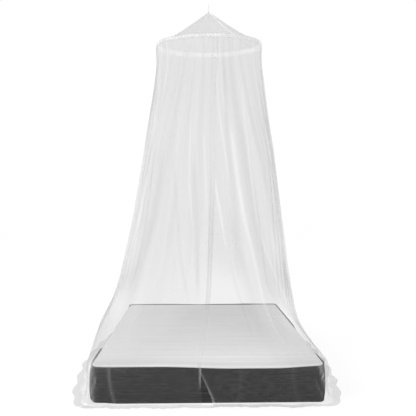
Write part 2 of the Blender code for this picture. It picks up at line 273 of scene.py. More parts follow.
# The main creases, listed one by one. Each one follows a path of places, given as its share of the
# fall and of the way round. It has a width, and stands out (or in, below 0). Cover and white are
# what it adds to the net's own, where it shows as a lighter or a darker line.
# Where a crease's white is below 0, its darker line is painted shade in that crease
CREASES = (
    # width, stand, cover, white, path
    (0.017, 0.007, 0.04, 0.06, ((0.00, 0.028), (0.20, 0.037), (0.27, 0.041))),
    (
        0.014, 0.006, 0.10, 0.16,
        ((0.22, 0.039), (0.44, 0.0496), (0.57, 0.055), (0.73, 0.065), (0.92, 0.084)),
    ),
    (0.010, 0.004, 0.07, 0.10, ((0.00, 0.012), (0.15, 0.019), (0.30, 0.026), (0.45, 0.034))),
    (0.009, 0.004, 0.06, 0.10, ((0.12, 0.083), (0.27, 0.076), (0.44, 0.068), (0.64, 0.083), (0.84, 0.104))),
    (0.009, 0.005, 0.14, 0.20, ((0.36, 0.003), (0.47, 0.012), (0.60, 0.025), (0.74, 0.037), (0.86, 0.046))),
    (0.007, -0.003, 0.07, -0.10, ((0.28, 0.920), (0.48, 0.949), (0.65, 0.966), (0.78, 0.979))),
    (0.015, -0.004, 0.08, -0.10, ((0.30, 0.970), (0.46, 0.976), (0.66, 0.987), (0.76, 0.989))),
    (0.030, 0.006, 0.08, 0.10, ((0.00, 0.806), (0.24, 0.848), (0.35, 0.872), (0.66, 0.893), (0.80, 0.895))),
    (0.030, -0.003, 0.05, -0.06, ((0.28, 0.905), (0.46, 0.918), (0.66, 0.912), (0.80, 0.911))),
    (0.007, 0.003, 0.10, 0.14, ((0.00, 0.828), (0.07, 0.833), (0.20, 0.846))),
    (0.007, 0.003, 0.09, 0.12, ((0.00, 0.858), (0.10, 0.862), (0.32, 0.884))),
    (0.006, 0.003, 0.07, 0.10, ((0.20, 0.955), (0.36, 0.964), (0.60, 0.978))),
    (0.006, 0.003, 0.08, 0.12, ((0.24, 0.985), (0.34, 0.990), (0.55, 0.997))),
    (0.040, 0.004, 0.03, -0.05, ((0.02, 0.036), (0.30, 0.054), (0.60, 0.071), (0.86, 0.088))),
    (0.026, 0.003, 0.08, -0.05, ((0.44, 0.022), (0.60, 0.040), (0.74, 0.052), (0.86, 0.060))),
    (0.010, 0.004, 0.14, 0.16, ((0.88, 0.914), (0.94, 0.916), (1.00, 0.922))),
    (0.010, 0.005, 0.05, 0.10, ((0.86, 0.070), (0.94, 0.074), (1.00, 0.081))),
    (0.010, 0.004, 0.04, 0.10, ((0.88, 0.030), (0.95, 0.028), (1.00, 0.024))),
    (0.010, 0.003, 0.14, 0.24, ((0.86, 0.098), (0.93, 0.100), (1.00, 0.103))),
    (0.006, 0.003, 0.24, 0.42, ((0.88, 0.0950), (0.907, 0.0970), (0.93, 0.1000), (0.95, 0.1015))),
    (0.006, 0.002, 0.12, 0.20, ((0.93, 0.0930), (0.97, 0.0985), (1.00, 0.1000))),
    (0.014, 0.004, 0.36, 0.52, ((0.86, 0.8990), (0.93, 0.8965), (1.00, 0.8975))),
    (0.035, 0.002, 0.15, 0.02, ((0.89, 0.8985), (0.94, 0.8985), (1.00, 0.9000))),
    (0.005, 0.002, 0.20, 0.34, ((0.90, 0.8990), (0.93, 0.9020), (0.96, 0.9005), (1.00, 0.9030))),
    (0.018, 0.006, 0.08, 0.10, ((0.00, 0.440), (0.40, 0.446), (0.80, 0.440))),
    (0.014, 0.005, 0.08, 0.10, ((0.05, 0.540), (0.45, 0.525), (0.85, 0.510))),
    (0.016, 0.006, 0.08, 0.10, ((0.00, 0.600), (0.40, 0.570), (0.80, 0.548))),
)

# The mattress's taped edge, and how uneven its bulge is
WELT_BACK = 0.0034
WELT_SIDE = 0.0026
WELT_LIMIT = 0.0040
BULGE_UNEVENNESS = 0.0011

# How deep the top has sunk along its front edge, how far its surface and its rim lie below the
# solid's, and how wide the rolled rim is
FRONT_SAG = 0.0125
PAD_SINK = 0.0016
RIM_SINK = 0.0014
RIM_WIDTH = 0.012

# The mattress's side from the floor up, its taped edge, and the rolled rim of its top
MATTRESS_BORDER_PROFILE = (
    # height, inset
    (0.000, 0.026),
    (0.002, 0.018),
    (0.006, 0.012),
    (0.014, 0.005),
    (0.026, 0.000),
    (0.045, -0.0035),
    (0.075, -0.0052),
    (0.106, -MATTRESS_BULGE),
    (0.140, -0.0052),
    (0.170, -0.0030),
    (0.190, -0.0010),
    (0.202, 0.0010),
    (0.209, 0.0022),
)
WELT_PROFILE = (
    # share of its rise, inset
    (0.0, 0.0025),
    (0.7, 0.0022),
    (0.95, 0.0030),
    (1.0, 0.0040),
    (0.95, 0.0052),
    (0.7, 0.0060),
    (0.0, 0.0062),
    (0.0, 0.0240),
)
PAD_RIM = (
    # drop, reach
    (0.0012, 0.0055),
    (0.0035, 0.0105),
    (0.0070, 0.0140),
    (0.0110, 0.0145),
    (0.0150, 0.0125),
)
# The soft creases that run across the top
TOP_CREASES = (
    # y, from_x, to_x, width, depth
    (0.62, -0.60, 0.20, 0.022, 0.0022),
    (0.36, -0.50, 0.60, 0.018, 0.0016),
    (0.16, -0.64, 0.10, 0.016, 0.0018),
    (-0.03, -0.62, 0.30, 0.014, 0.0026),
    (-0.22, -0.30, 0.55, 0.014, 0.0014),
    (-0.40, -0.60, -0.05, 0.012, 0.0020),
    (-0.60, -0.55, 0.15, 0.012, 0.0024),
    (-0.78, -0.20, 0.60, 0.012, 0.0012),
)


def linear_from_hex(code):
    """Linear red, green and blue from an sRGB hex code."""
    values = [int(code[i : i + 2], 16) / 255 for i in (0, 2, 4)]
    return tuple(v / 12.92 if v <= 0.04045 else ((v + 0.055) / 1.055) ** 2.4 for v in values)


# What a user would change


class CanopyNetSettings(bpy.types.PropertyGroup):
    """The net's mesh, its fullness and its colours"""

    columns_per_fold: IntProperty(
        name="Columns per Fold",
        description="How many columns of the net's mesh each main fold takes",
        default=22,
        min=6,
    )
    row_spacing: FloatProperty(
        name="Row Spacing",
        description="Height between the rows of the net's mesh",
        default=0.026,
        unit="LENGTH",
    )
    open_cover: FloatProperty(
        name="Cover of the Open Net",
        description="Share of the light that one flat layer of net holds back",
        default=0.085,
        subtype="FACTOR",
    )
    milky_cover: FloatProperty(
        name="Cover of the Gathered Net",
        description="Share of the light that the net holds back where its fullness is gathered in",
        default=0.40,
        subtype="FACTOR",
    )
    open_white: FloatProperty(
        name="Whiteness of the Open Net",
        description="How far the open net's colour goes from single threads to close ones",
        default=0.12,
        subtype="FACTOR",
    )
    milky_white: FloatProperty(
        name="Whiteness of the Gathered Net",
        description="How far the gathered net's colour goes from single threads to close ones",
        default=0.575,
        subtype="FACTOR",
    )
    thread_pitch: FloatProperty(
        name="Mesh Pitch",
        description="Distance between the net's holes",
        default=0.0015,
        unit="LENGTH",
    )
    open_colour: FloatVectorProperty(
        name="Open Net",
        description="Colour of single threads against the light",
        default=linear_from_hex("5a5a5a"),
        subtype="COLOR",
    )
    gathered_colour: FloatVectorProperty(
        name="Gathered Net",
        description="Colour of the same threads where they lie close",
        default=linear_from_hex("f9f9f9"),
        subtype="COLOR",
    )


class CanopyTrimSettings(bpy.types.PropertyGroup):
    """The casing's gathers, and the stitches, tapes, cord and rod"""

    gathers: IntProperty(
        name="Casing Gathers",
        description="How many gathers the casing has round the hoop",
        default=96,
        min=12,
    )
    gather_depth: FloatProperty(
        name="Gather Depth",
        description="How deep the casing's gathers are",
        default=0.0022,
        unit="LENGTH",
    )
    stitch_length: FloatProperty(
        name="Stitch Length",
        description="Length of one stitch along the tapes",
        default=0.0032,
        unit="LENGTH",
    )
    tape_colour: FloatVectorProperty(
        name="Tape",
        description="Colour of the woven tapes and their stitches",
        default=linear_from_hex("f9f9f9"),
        subtype="COLOR",
    )
    cord_colour: FloatVectorProperty(
        name="Cord",
        description="Colour of the hanging loop's cord",
        default=linear_from_hex("d7d7d7"),
        subtype="COLOR",
    )
    rod_colour: FloatVectorProperty(
        name="Rod",
        description="Colour of the hoop's plastic rod",
        default=linear_from_hex("ededed"),
        subtype="COLOR",
    )


class CanopyMattressSettings(bpy.types.PropertyGroup):
    """The mattress's ribs and its colours"""

    rib_pitch: FloatProperty(
        name="Rib Pitch",
        description="Distance between the crosswise ridges of the top",
        default=0.042,
        unit="LENGTH",
    )
    rib_height: FloatProperty(
        name="Rib Height",
        description="Height of the crosswise ridges of the top",
        default=0.0007,
        unit="LENGTH",
    )
    border_colour: FloatVectorProperty(
        name="Border",
        description="Colour of the knitted border",
        default=linear_from_hex("2f2f2f"),
        subtype="COLOR",
    )
    top_colour: FloatVectorProperty(
        name="Top",
        description="Colour of the knitted top",
        default=linear_from_hex("f0f0f0"),
        subtype="COLOR",
    )


# Nodes, meshes and objects


def add_node(tree, kind, settings=None, inputs=None):
    """A node with its settings, and with values or links for its inputs by name or number."""
    node = tree.nodes.new(kind)
    for name, value in (settings or {}).items():
        setattr(node, name, value)
    for key, value in (inputs or {}).items():
        if isinstance(value, bpy.types.NodeSocket):
            tree.links.new(value, node.inputs[key])
        else:
            node.inputs[key].default_value = value
    return node


def new_material(name, roughness, sheen=0.0, specular=0.3):
    """A material with a Principled shader whose uniform values are set."""
    material = bpy.data.materials.new(name)
    material.use_nodes = True
    shader = material.node_tree.nodes["Principled BSDF"]
    shader.inputs["Roughness"].default_value = roughness
    shader.inputs["Sheen Weight"].default_value = sheen
    shader.inputs["Specular IOR Level"].default_value = specular
    return material, material.node_tree, shader


def add_piece(name, vertices, faces, material, uv=None, values=None):
    """A smooth mesh at the origin, with a UV map in metres and named values for its points."""
    mesh = bpy.data.meshes.new(name)
    mesh.from_pydata([tuple(v) for v in vertices], [], faces)
    mesh.materials.append(material)
    if uv is not None:
        layer = mesh.uv_layers.new(name="cloth")
        corners = np.empty(len(mesh.loops), np.int32)
        mesh.loops.foreach_get("vertex_index", corners)
        layer.data.foreach_set("uv", np.asarray(uv, np.float32)[corners].ravel())
    for key, data in (values or {}).items():
        attribute = mesh.attributes.new(key, "FLOAT", "POINT")
        attribute.data.foreach_set("value", np.asarray(data, np.float32).ravel())
    mesh.shade_smooth()
    mesh.validate()
    piece = bpy.data.objects.new(name, mesh)
    bpy.context.scene.collection.objects.link(piece)
    return piece


def grid_faces(rows, columns, closed=False, start=0):
    """Faces of a grid whose points run along its rows. Where closed, each row joins its start."""
    faces = []
    for r in range(rows - 1):
        for c in range(columns if closed else columns - 1):
            after = (c + 1) % columns
            low, high = start + r * columns, start + (r + 1) * columns
            faces.append((low + c, low + after, high + after, high + c))
    return faces


def close_ends(faces, rows, columns):
    """Closes the first and the last row of a closed grid with a face each."""
    faces.append(tuple(range(columns))[::-1])
    faces.append(tuple((rows - 1) * columns + i for i in range(columns)))


def mix(a, b, share):
    """The value that lies share of the way from a to b."""
    return a + (b - a) * share


def smooth(share):
    """An eased step, from 0 up to a share of 0 to 1 from a share of 1."""
    share = np.clip(share, 0.0, 1.0)
    return share * share * (3 - 2 * share)


def read_table(table, at):
    """A row's values at a height between those of a table that runs from high to low."""
    for upper, lower in zip(table, table[1:]):
        if at >= lower[0]:
            share = min((upper[0] - at) / (upper[0] - lower[0]), 1.0)
            return [mix(a, b, max(share, 0.0)) for a, b in zip(upper[1:], lower[1:])]
    return list(table[-1][1:])


# The solid's outlines seen from above. share is the way round from the front's middle,
# rightwards first.


def rounded_rectangle(share, half_width, half_length, corner):
    """A point on a rectangle's outline, with its corners as arcs."""
    across = half_width - corner
    along = half_length - corner
    arc = corner * pi / 2
    pieces = (
        # length, start, direction of travel in quarter turns, arc's centre
        (across, (0, -half_length), 0, None),
        (arc, None, 0, (across, -along)),
        (2 * along, (half_width, -along), 1, None),
        (arc, None, 1, (across, along)),
        (2 * across, (across, half_length), 2, None),
        (arc, None, 2, (-across, along)),
        (2 * along, (-half_width, along), 3, None),
        (arc, None, 3, (-across, -along)),
        (across, (-across, -half_length), 0, None),
    )
    way = share % 1.0 * sum(piece[0] for piece in pieces)
    for length, start, quarter, centre in pieces:
        if way <= length + TINY:
            break
        way -= length
    heading = quarter * pi / 2
    if centre is None:
        return Vector((start[0] + way * cos(heading), start[1] + way * sin(heading)))
    angle = heading - pi / 2 + way / corner
    return Vector((centre[0] + corner * cos(angle), centre[1] + corner * sin(angle)))


def hoop_outline(share):
    """The hoop's own round."""
    angle = 2 * pi * share - pi / 2
    return Vector((HOOP_OFFSET + HOOP_RADIUS * cos(angle), HOOP_RADIUS * sin(angle)))


def edge_outline(share):
    """The line along which the net bends over the mattress."""
    half_width = MATTRESS_WIDTH / 2 + MATTRESS_BULGE + EDGE_CLEARANCE
    half_length = MATTRESS_LENGTH / 2 + MATTRESS_BULGE + EDGE_CLEARANCE
    return rounded_rectangle(share, half_width, half_length, EDGE_CORNER)


def bowed_outline(share, reach):
    """The mattress's outline moved out by reach and more at the sides, which bow out."""
    half_width = MATTRESS_WIDTH / 2 + SIDE_FLOOR_REACH + reach
    half_length = MATTRESS_LENGTH / 2 + FRONT_FLOOR_REACH + reach
    point = rounded_rectangle(share, half_width, half_length, FLOOR_CORNER + reach)
    bow = SIDE_BOW * (1 - (point.y / half_length) ** 2)
    point.x += bow * point.x / half_width
    return point


def floor_outline(share):
    """The line along which the net bends on to the floor."""
    return bowed_outline(share, 0.0)


def hem_outline(share):
    """The net's last edge, on the floor."""
    return bowed_outline(share, HEM_WIDTH)


def leftness(share):
    """From 0 at the middle of the right side to 1 at the middle of the left."""
    return (1 - sin(2 * pi * share)) / 2


def between(first, second, right_part, left_part):
    """The outline that lies part of the way from the first to the second."""

    def outline(share):
        return first(share).lerp(second(share), mix(right_part, left_part, leftness(share)))

    return outline


def outward(outline, share):
    """The direction straight out from an outline."""
    step = 0.002
    along = outline(share + step) - outline(share - step)
    return Vector((along.y, -along.x)).normalized()


def share_at_front(outline, x):
    """The share at which an outline's front reaches x."""
    step = 0.01
    left, right = outline(-step).x, outline(step).x
    return (x - (left + right) / 2) / (right - left) * 2 * step


def hoop_height(x, y):
    """The hoop's height above a place seen from above."""
    return HOOP_HEIGHT + tan(HOOP_TILT) * y + tan(HOOP_LEAN) * (x - HOOP_OFFSET)


# The skirt


def net_levels():
    """The net's levels from the hoop to the hem: outline, height at a share, fold depth."""
    levels = []
    below_casing = CASING_HALF_HEIGHT + SEAM_GAP
    for drop, right_out, left_out, depth in UPPER_LEVELS:
        outline = between(hoop_outline, edge_outline, right_out, left_out)

        def height(share, drop=drop):
            start = hoop_height(*hoop_outline(share)) - below_casing
            return mix(start, EDGE_HEIGHT, drop)

        levels.append((outline, height, depth))
    for level_height, spread, depth in LOWER_LEVELS:
        outline = between(edge_outline, floor_outline, spread, spread)
        levels.append((outline, lambda share, z=level_height: z, depth))
    levels.append((hem_outline, lambda share: 0.0, HEM_FOLD_DEPTH))
    return levels


def net_row(outline, height, fold_depth, steps_per_fold):
    """One level from the right panel's leading edge round to the left panel's.

    Each point has its place, the direction straight out, and its share.
    """
    front = height(0.0)
    fall = (HOOP_HEIGHT - front) / HOOP_HEIGHT
    left_x, right_x = read_table(SLIT, front)
    ridges = [(share_at_front(outline, right_x), 0.0)]
    ridges += [(mix(top, bottom, fall), depth) for top, bottom, depth in RIDGES]
    ridges += [(1 + share_at_front(outline, left_x), 0.0)]
    last = len(ridges) - 2
    points = []
    for i, (ridge, following) in enumerate(zip(ridges, ridges[1:])):
        steps = steps_per_fold + (i == last)
        for j in range(steps):
            part = j / steps_per_fold
            share = mix(ridge[0], following[0], part)
            depth = mix(ridge[1], following[1], part)
            lap = LAP_LIFT * float(smooth(part + i - last + 1))
            out = outward(outline, share)
            plan = outline(share) + out * (depth * cos(pi * part) ** 2 * fold_depth + lap)
            points.append((plan.x, plan.y, height(share), out.x, out.y, share))
    return points


def smooth_rows(levels, spacing):
    """Rows read from smooth curves through the levels, about spacing apart, and their positions."""
    levels = np.array(levels)
    steps = np.linalg.norm(np.diff(levels[:, :, :3], axis=0), axis=2).mean(axis=1)
    knots = np.concatenate([[0.0], np.cumsum(steps)])
    places = [0.0]
    for start, step in zip(knots, steps):
        count = max(round(step / spacing), 4)
        places += [start + step * (i + 1) / count for i in range(count)]
    slopes = np.empty_like(levels)
    rises = np.diff(levels, axis=0) / steps[:, None, None]
    slopes[0], slopes[-1] = rises[0], rises[-1]
    before, after = steps[:-1, None, None], steps[1:, None, None]
    slopes[1:-1] = (rises[:-1] * after + rises[1:] * before) / (before + after)
    rows = []
    for place in places:
        k = min(int(np.searchsorted(knots, place, side="right")) - 1, len(steps) - 1)
        t = (place - knots[k]) / steps[k]
        low, high = levels[k], levels[k + 1]
        bend = slopes[k] * (t**3 - 2 * t**2 + t) + slopes[k + 1] * (t**3 - t**2)
        rows.append(low * (2 * t**3 - 3 * t**2 + 1) + high * (3 * t**2 - 2 * t**3) + bend * steps[k])
    return np.array(rows), np.array(places), knots


def ripple(share, fall, counts, shifts, drift):
    """Uneven waves round the net, from -1 to 1, that wander a little as they fall."""
    total = np.zeros_like(share)
    for count, shift in zip(counts, shifts):
        total += np.sin(2 * pi * count * share + shift + drift * np.sin(fall * (3 + shift)))
    return total / len(counts)


def path_share(path, fall):
    """A crease's share of the way round at each fall, through its places in a smooth curve."""
    falls = [place[0] for place in path]
    shares = [place[1] for place in path]
    fine = np.linspace(falls[0], falls[-1], 60)
    rough = np.interp(fine, falls, shares)
    soft = np.convolve(np.pad(rough, 8, mode="reflect", reflect_type="odd"), np.ones(17) / 17, "valid")
    return np.interp(fall, fine, soft)


def net_fullness(settings, share, fall, x):
    """The plain net's cover and whiteness, and how milky it is: gathered close, or spread open."""
    # It opens out as it falls, and more where it has passed the mattress's edge
    reach = np.interp(share, *zip(*MILKY_REACH))
    milky = smooth((reach - fall) / MILKY_FADE + 0.5) * (1 - 0.8 * smooth((fall - 0.895) / 0.02))
    cover = mix(settings.open_cover, settings.milky_cover, milky)
    white = mix(settings.open_white, settings.milky_white, 1 - (1 - milky) ** 2)

    # The flanks are whiter, down to where the net starts to spread over the mattress: partly the
    # gathered net's own white, partly painted light that lifts the shade on their sideways faces
    aside = np.abs(share - 0.5)
    front_limit = 0.36 + 0.07 * smooth((fall - 0.35) / 0.30)
    flank = smooth((aside - 0.18) / 0.06) * smooth((front_limit - aside) / 0.05)
    spread = smooth((fall - 0.15) / 0.25)
    low = smooth((fall - 0.60) / 0.12)
    white = white + ((0.16 - 0.13 * low) * flank * spread - 0.10 * low) * milky
    # Painted light: the upper net is painted whiter on the right and a little greyer on the left
    white = white + (0.06 * smooth((x - 0.12) / 0.20) - 0.03) * smooth((0.28 - fall) / 0.16)

    # The folds that pull down to the mattress's front corners are painted whiter, as painted
    # highlights along them, and hold back a little less light
    corner_fold = 0.25 + 0.14 * smooth((fall - 0.45) / 0.35)
    on_right = share < 0.5
    corner_fold_highlight = np.exp(-(((aside - corner_fold) / 0.030) ** 2)) * smooth((fall - 0.56) / 0.12)
    corner_fold_highlight = corner_fold_highlight * (1 - smooth((fall - 0.70 - 0.06 * on_right) / 0.12)) * (1.0 + 0.3 * on_right)
    cover = cover - 0.04 * corner_fold_highlight
    white = white + 0.30 * corner_fold_highlight
    return cover, white, milky


def crease_lines(share, fall, whole):
    """What the main creases add to how far the net stands out, to its cover and to its whiteness."""
    total = np.zeros((3, *share.shape))
    for width, depth, close, pale, path in CREASES:
        middle = path_share(path, fall) + CREASE_WANDER * np.sin(17 * fall + 90 * path[0][1])
        bell = np.exp(-(((share - middle) * whole / width) ** 2))
        first, last = path[0][0], path[-1][0]
        fade = min(0.10, (last - first) / 3)
        starts = smooth((fall - first) / fade) if first else 1.0
        ends = smooth((last - fall) / fade) if last < 1 else 1.0
        total += np.multiply.outer((depth, close, pale), bell * starts * ends)
    return total


def hem_tone(cover, white, side, foot, share, fall):
    """The net's cover and whiteness with its lap and its hems drawn in.

    side is the way to the nearer leading edge, and foot the way down to the last one.
    """
    over_top = smooth((fall - TOP_STARTS) / 0.04) * (1 - smooth((fall - TOP_ENDS) / 0.02))
    lap = smooth((LAP_WIDTH - side) / 0.010) * (1 - smooth((fall - 0.40) / 0.25) * (1 - over_top))
    cover = cover * (1 - 0.5 * lap)
    on_left = share > 0.5
    shown = smooth((fall - 0.30) / 0.30) * np.where(on_left, 1 - smooth((fall - 0.93) / 0.04), 1.0)
    hem = smooth((HEM_TURNING - side) / 0.005) * shown * (1 - 0.9 * over_top)
    cover = cover + hem * 0.20
    white = white + hem * (0.42 - white)
    last_hem = smooth((HEM_TURNING - foot) / 0.006)
    return cover + 0.12 * last_hem, white + 0.25 * last_hem


def skirt_mesh(settings):
    """The skirt's points, faces, flat places, cover and whiteness."""
    levels = [net_row(*level, settings.columns_per_fold) for level in net_levels()]
    rows, places, knots = smooth_rows(levels, settings.row_spacing)
    x, y, z, out_x, out_y, share = np.moveaxis(rows, 2, 0)
    length = np.hypot(out_x, out_y)
    out_x, out_y = out_x / length, out_y / length
    along = np.hypot(np.diff(x, axis=1), np.diff(y, axis=1))
    round_it = np.concatenate([np.zeros((len(rows), 1)), np.cumsum(along, axis=1)], axis=1)
    whole = round_it[:, -1:]
    floor_start = knots[-2]
    fall = np.clip(places / floor_start, 0.0, 1.0)[:, None] * np.ones_like(share)
    on_floor = np.clip((places - floor_start) / (knots[-1] - floor_start), 0.0, 1.0)[:, None]
    above = 1.0 - smooth(on_floor * 3)

    cover, white, milky = net_fullness(settings, share, fall, x)

    # Gathers below the casing, which run out into softer waves
    tight = np.exp(-fall / 0.06)
    loose = np.exp(-fall / 0.35) * smooth(fall / 0.04)
    gathers = ripple(share, fall, (83, 109, 137), (0.4, 2.1, 4.0), 0.6)
    waves = ripple(share, fall, (37, 53, 71), (1.0, 3.3, 5.2), 1.2)
    fine_waves = ripple(share, fall, (61, 97, 151), (2.2, 0.3, 4.6), 1.0)
    stand = GATHER_HEIGHT * tight * gathers + (LOOSE_HEIGHT * loose + WAVE_HEIGHT) * waves
    grown = milky * smooth(fall / 0.12)
    cover = cover + 0.02 * tight * gathers + grown * (0.018 * waves + 0.009 * fine_waves)
    white = white + 0.02 * tight * gathers + grown * (0.03 * waves + 0.015 * fine_waves)

    creased = crease_lines(share, fall, whole)
    stand, cover, white = stand + creased[0], cover + creased[1], white + creased[2]

    side = np.minimum(round_it, whole - round_it)
    foot = (knots[-1] - places)[:, None]
    cover, white = hem_tone(cover, white, side, foot, share, fall)

    # Where it bends on to the floor, and where it lies on it. The bend is painted white, partly as
    # its bunched cloth and partly as painted light over the shadow at its foot
    bend = np.exp(-(((places - floor_start)[:, None] + 0.004) / 0.010) ** 2)
    fuller = smooth((0.10 - share) / 0.03)
    cover = cover + 0.30 * bend + (0.22 + 0.14 * fuller) * (1 - above)
    white = white + 0.75 * bend + 0.20 * (1 - above)

    keep = smooth(side / 0.03)
    stand = SHEET_CLEARANCE + np.maximum(stand * keep, -INWARD_LIMIT) * above
    x = x + out_x * stand
    y = y + out_y * stand

    # On the floor it lies in lumps, and the left panel's edge is drawn back over the right one's
    turned_in = np.where(share > 0.5, smooth((FOOT_LAP * 1.6 - side) / FOOT_LAP), 0.0)
    x = x + FOOT_LAP * turned_in * smooth(on_floor * 4.0)
    lumps = ripple(share, on_floor * 2, (61, 97, 143), (0.7, 2.9, 4.4), 2.5)
    lumps = lumps * (1 - turned_in)
    lumps = (LUMP_HEIGHT + LUMP_UNEVENNESS * lumps) * (1 - 0.8 * turned_in)
    z = np.maximum(z, 0.0) + (1 - above) * lumps + FLOOR_LIFT
    points = np.stack([x, y, z], axis=2).reshape(-1, 3)
    flat_y = np.broadcast_to(places[:, None], share.shape)
    uv = np.stack([share * SKIRT_FLAT[0], -flat_y], axis=2).reshape(-1, 2)
    # Rows run downwards, so their order is turned round to make the faces point out
    faces = [face[::-1] for face in grid_faces(len(rows), share.shape[1])]
    looks = {"cover": np.clip(cover, 0, 0.95), "white": np.clip(white, 0, 1)}
    return points, faces, uv, looks


# The crown


def crown_point(azimuth, climb):
    """A point on the crown's inner face, climb being the share of the way up to the apex."""
    radius = mix(CROWN_RIM, CROWN_HOLE, climb)
    x, y = HOOP_OFFSET + radius * cos(azimuth), radius * sin(azimuth)
    rim_x, rim_y = HOOP_OFFSET + CROWN_RIM * cos(azimuth), CROWN_RIM * sin(azimuth)
    rim = hoop_height(rim_x, rim_y) + CROWN_SEAT
    between_tapes = (1 - cos(TAPE_COUNT * (azimuth - TAPE_AZIMUTH))) / 2
    leftward = max(-cos(azimuth), 0)
    sag = CROWN_SAG + CROWN_SWAG * between_tapes + CROWN_LEFT_SAG * leftward
    hang = sin(pi * climb**CROWN_SAG_POWER)
    return Vector((x, y, mix(rim, APEX_HEIGHT, climb) - sag * hang))


def crown_mesh(settings):
    """The crown's points, faces, flat places, cover, whiteness and glow."""
    columns, rows = 320, 44
    points, uv, cover, white, glow = [], [], [], [], []
    for j in range(rows):
        climb = j / (rows - 1)
        pleat = RIM_PLEAT * (1 - climb) ** 6 + TIP_PLEAT * climb**4
        for i in range(columns):
            azimuth = TAPE_AZIMUTH + 2 * pi * i / columns
            point = crown_point(azimuth, climb)
            fold = sin(64 * azimuth) * 0.6 + sin(41 * azimuth + 1.7) * 0.4
            point.z += CROWN_LIFT + pleat * (1 + fold)
            points.append(point)
            uv.append((azimuth * HOOP_RADIUS, climb * CROWN_SLANT))
            # It is closer at the rim's seam and at the knot, and shows whiter where a tape lies: partly the
            # tape's own white, partly painted light where the tape's underside lies in shade
            close = 0.30 * (1 - climb) ** 22 + 0.40 * climb**14
            crease = max(sin(9 * azimuth + 2.2 * sin(3 * climb)), 0) ** 24
            radius = mix(CROWN_RIM, CROWN_HOLE, climb)
            beside = abs(sin(TAPE_COUNT / 2 * (azimuth - TAPE_AZIMUTH))) * radius / TAPE_COUNT * 2
            taped = float(smooth((TAPE_WIDTH * 0.7 - beside) / 0.004))
            cover.append(settings.milky_cover + close + 0.02 * crease + 0.01 * fold + 0.4 * taped)
            # Painted light: its right is painted a little paler than its left
            sunny = 0.03 * (1 + cos(azimuth))
            pale = settings.milky_white + 0.7 * close + 0.04 * crease + 0.01 * fold
            white.append(pale + sunny + taped)
            # Painted glow where a tape lies, standing in for light coming through the doubled cloth
            glow.append(0.09 * taped)
    faces = grid_faces(rows, columns, closed=True)
    looks = {"cover": np.clip(cover, 0, 0.9), "white": np.clip(white, 0, 1), "glow": np.array(glow)}
    return points, faces, uv, looks


# Trim


def ring_point(angle, out, up):
    """A point beside the hoop's centre line, out from it and up from it."""
    radius = HOOP_RADIUS + out
    x, y = HOOP_OFFSET + radius * cos(angle), radius * sin(angle)
    return Vector((x, y, hoop_height(x, y) + up))


def hoop_mesh():
    """The rod bent round, as a ring of short tubes."""
    columns, sides = 180, 12
    points = []
    for j in range(sides):
        turn = 2 * pi * j / sides
        out, up = ROD_RADIUS * cos(turn), ROD_RADIUS * sin(turn)
        points += [ring_point(2 * pi * i / columns, out, up) for i in range(columns)]
    faces = grid_faces(sides, columns, closed=True)
    low = (sides - 1) * columns
    for i in range(columns):
        after = (i + 1) % columns
        faces.append((low + i, low + after, after, i))
    return points, faces


def tape_half_width(climb):
    """Half of a tape's width, which narrows up the crown."""
    return TAPE_WIDTH / 2 * mix(1.0, TAPE_TIP_SHARE, climb)


def tape_mesh(number):
    """A woven strip on the crown, its edges a little thinner than its middle."""
    azimuth = TAPE_AZIMUTH + 2 * pi * number / TAPE_COUNT
    steps, across_steps = 40, 8
    tip = (CROWN_RIM - KNOT_RADIUS - TAPE_GAP) / (CROWN_RIM - CROWN_HOLE)
    step, beside = 1 / 6, 2 * pi / 64
    points, uv = [], []
    for j in range(steps + 1):
        climb = tip * j / steps
        point = crown_point(azimuth, climb)
        ahead = crown_point(azimuth, min(climb + step / 4, 1.0))
        behind = crown_point(azimuth, max(climb - step / 4, 0.0))
        across = crown_point(azimuth - beside, climb) - crown_point(azimuth + beside, climb)
        normal = (ahead - behind).cross(across).normalized()
        if normal.z < 0:
            normal = -normal
        half_width = tape_half_width(climb)
        side = across.normalized() * half_width
        under = point + normal * (NET_THICKNESS + TAPE_GAP)
        for i in range(2 * across_steps):
            over = i < across_steps
            place = 2 * (i % across_steps) / (across_steps - 1) - 1
            place = place if over else -place
            height = TAPE_THICKNESS * (1 - 0.35 * place**4) if over else 0.0
            points.append(under + side * place + normal * height)
            uv.append((place * half_width, climb * CROWN_SLANT))
    around = 2 * across_steps
    faces = grid_faces(steps + 1, around, closed=True)
    close_ends(faces, steps + 1, around)
    return points, faces, uv


def loop_point(turn):
    """A point on the loop's centre line, a drop shape in the Y-Z plane with its foot down."""
    height = (1 - cos(turn)) / 2
    narrowing = mix(1 - LOOP_NARROWING, 1.0, height)
    half_width = (LOOP_WIDTH / 2 - LOOP_CORD) * sin(turn) * narrowing
    return Vector((HOOP_OFFSET, half_width, mix(LOOP_FOOT, LOOP_TOP - LOOP_CORD, height)))


def strand(path, radius, sides=8):
    """A tube of points and faces along a path of places."""
    points = []
    for k, place in enumerate(path):
        along = (path[min(k + 1, len(path) - 1)] - path[max(k - 1, 0)]).normalized()
        first = along.cross(Vector((1, 0.12, 0.07))).normalized()
        second = along.cross(first)
        for j in range(sides):
            turn = 2 * pi * j / sides
            points.append(place + (first * cos(turn) + second * sin(turn)) * radius)
    faces = grid_faces(len(path), sides, closed=True)
    close_ends(faces, len(path), sides)
    return points, faces


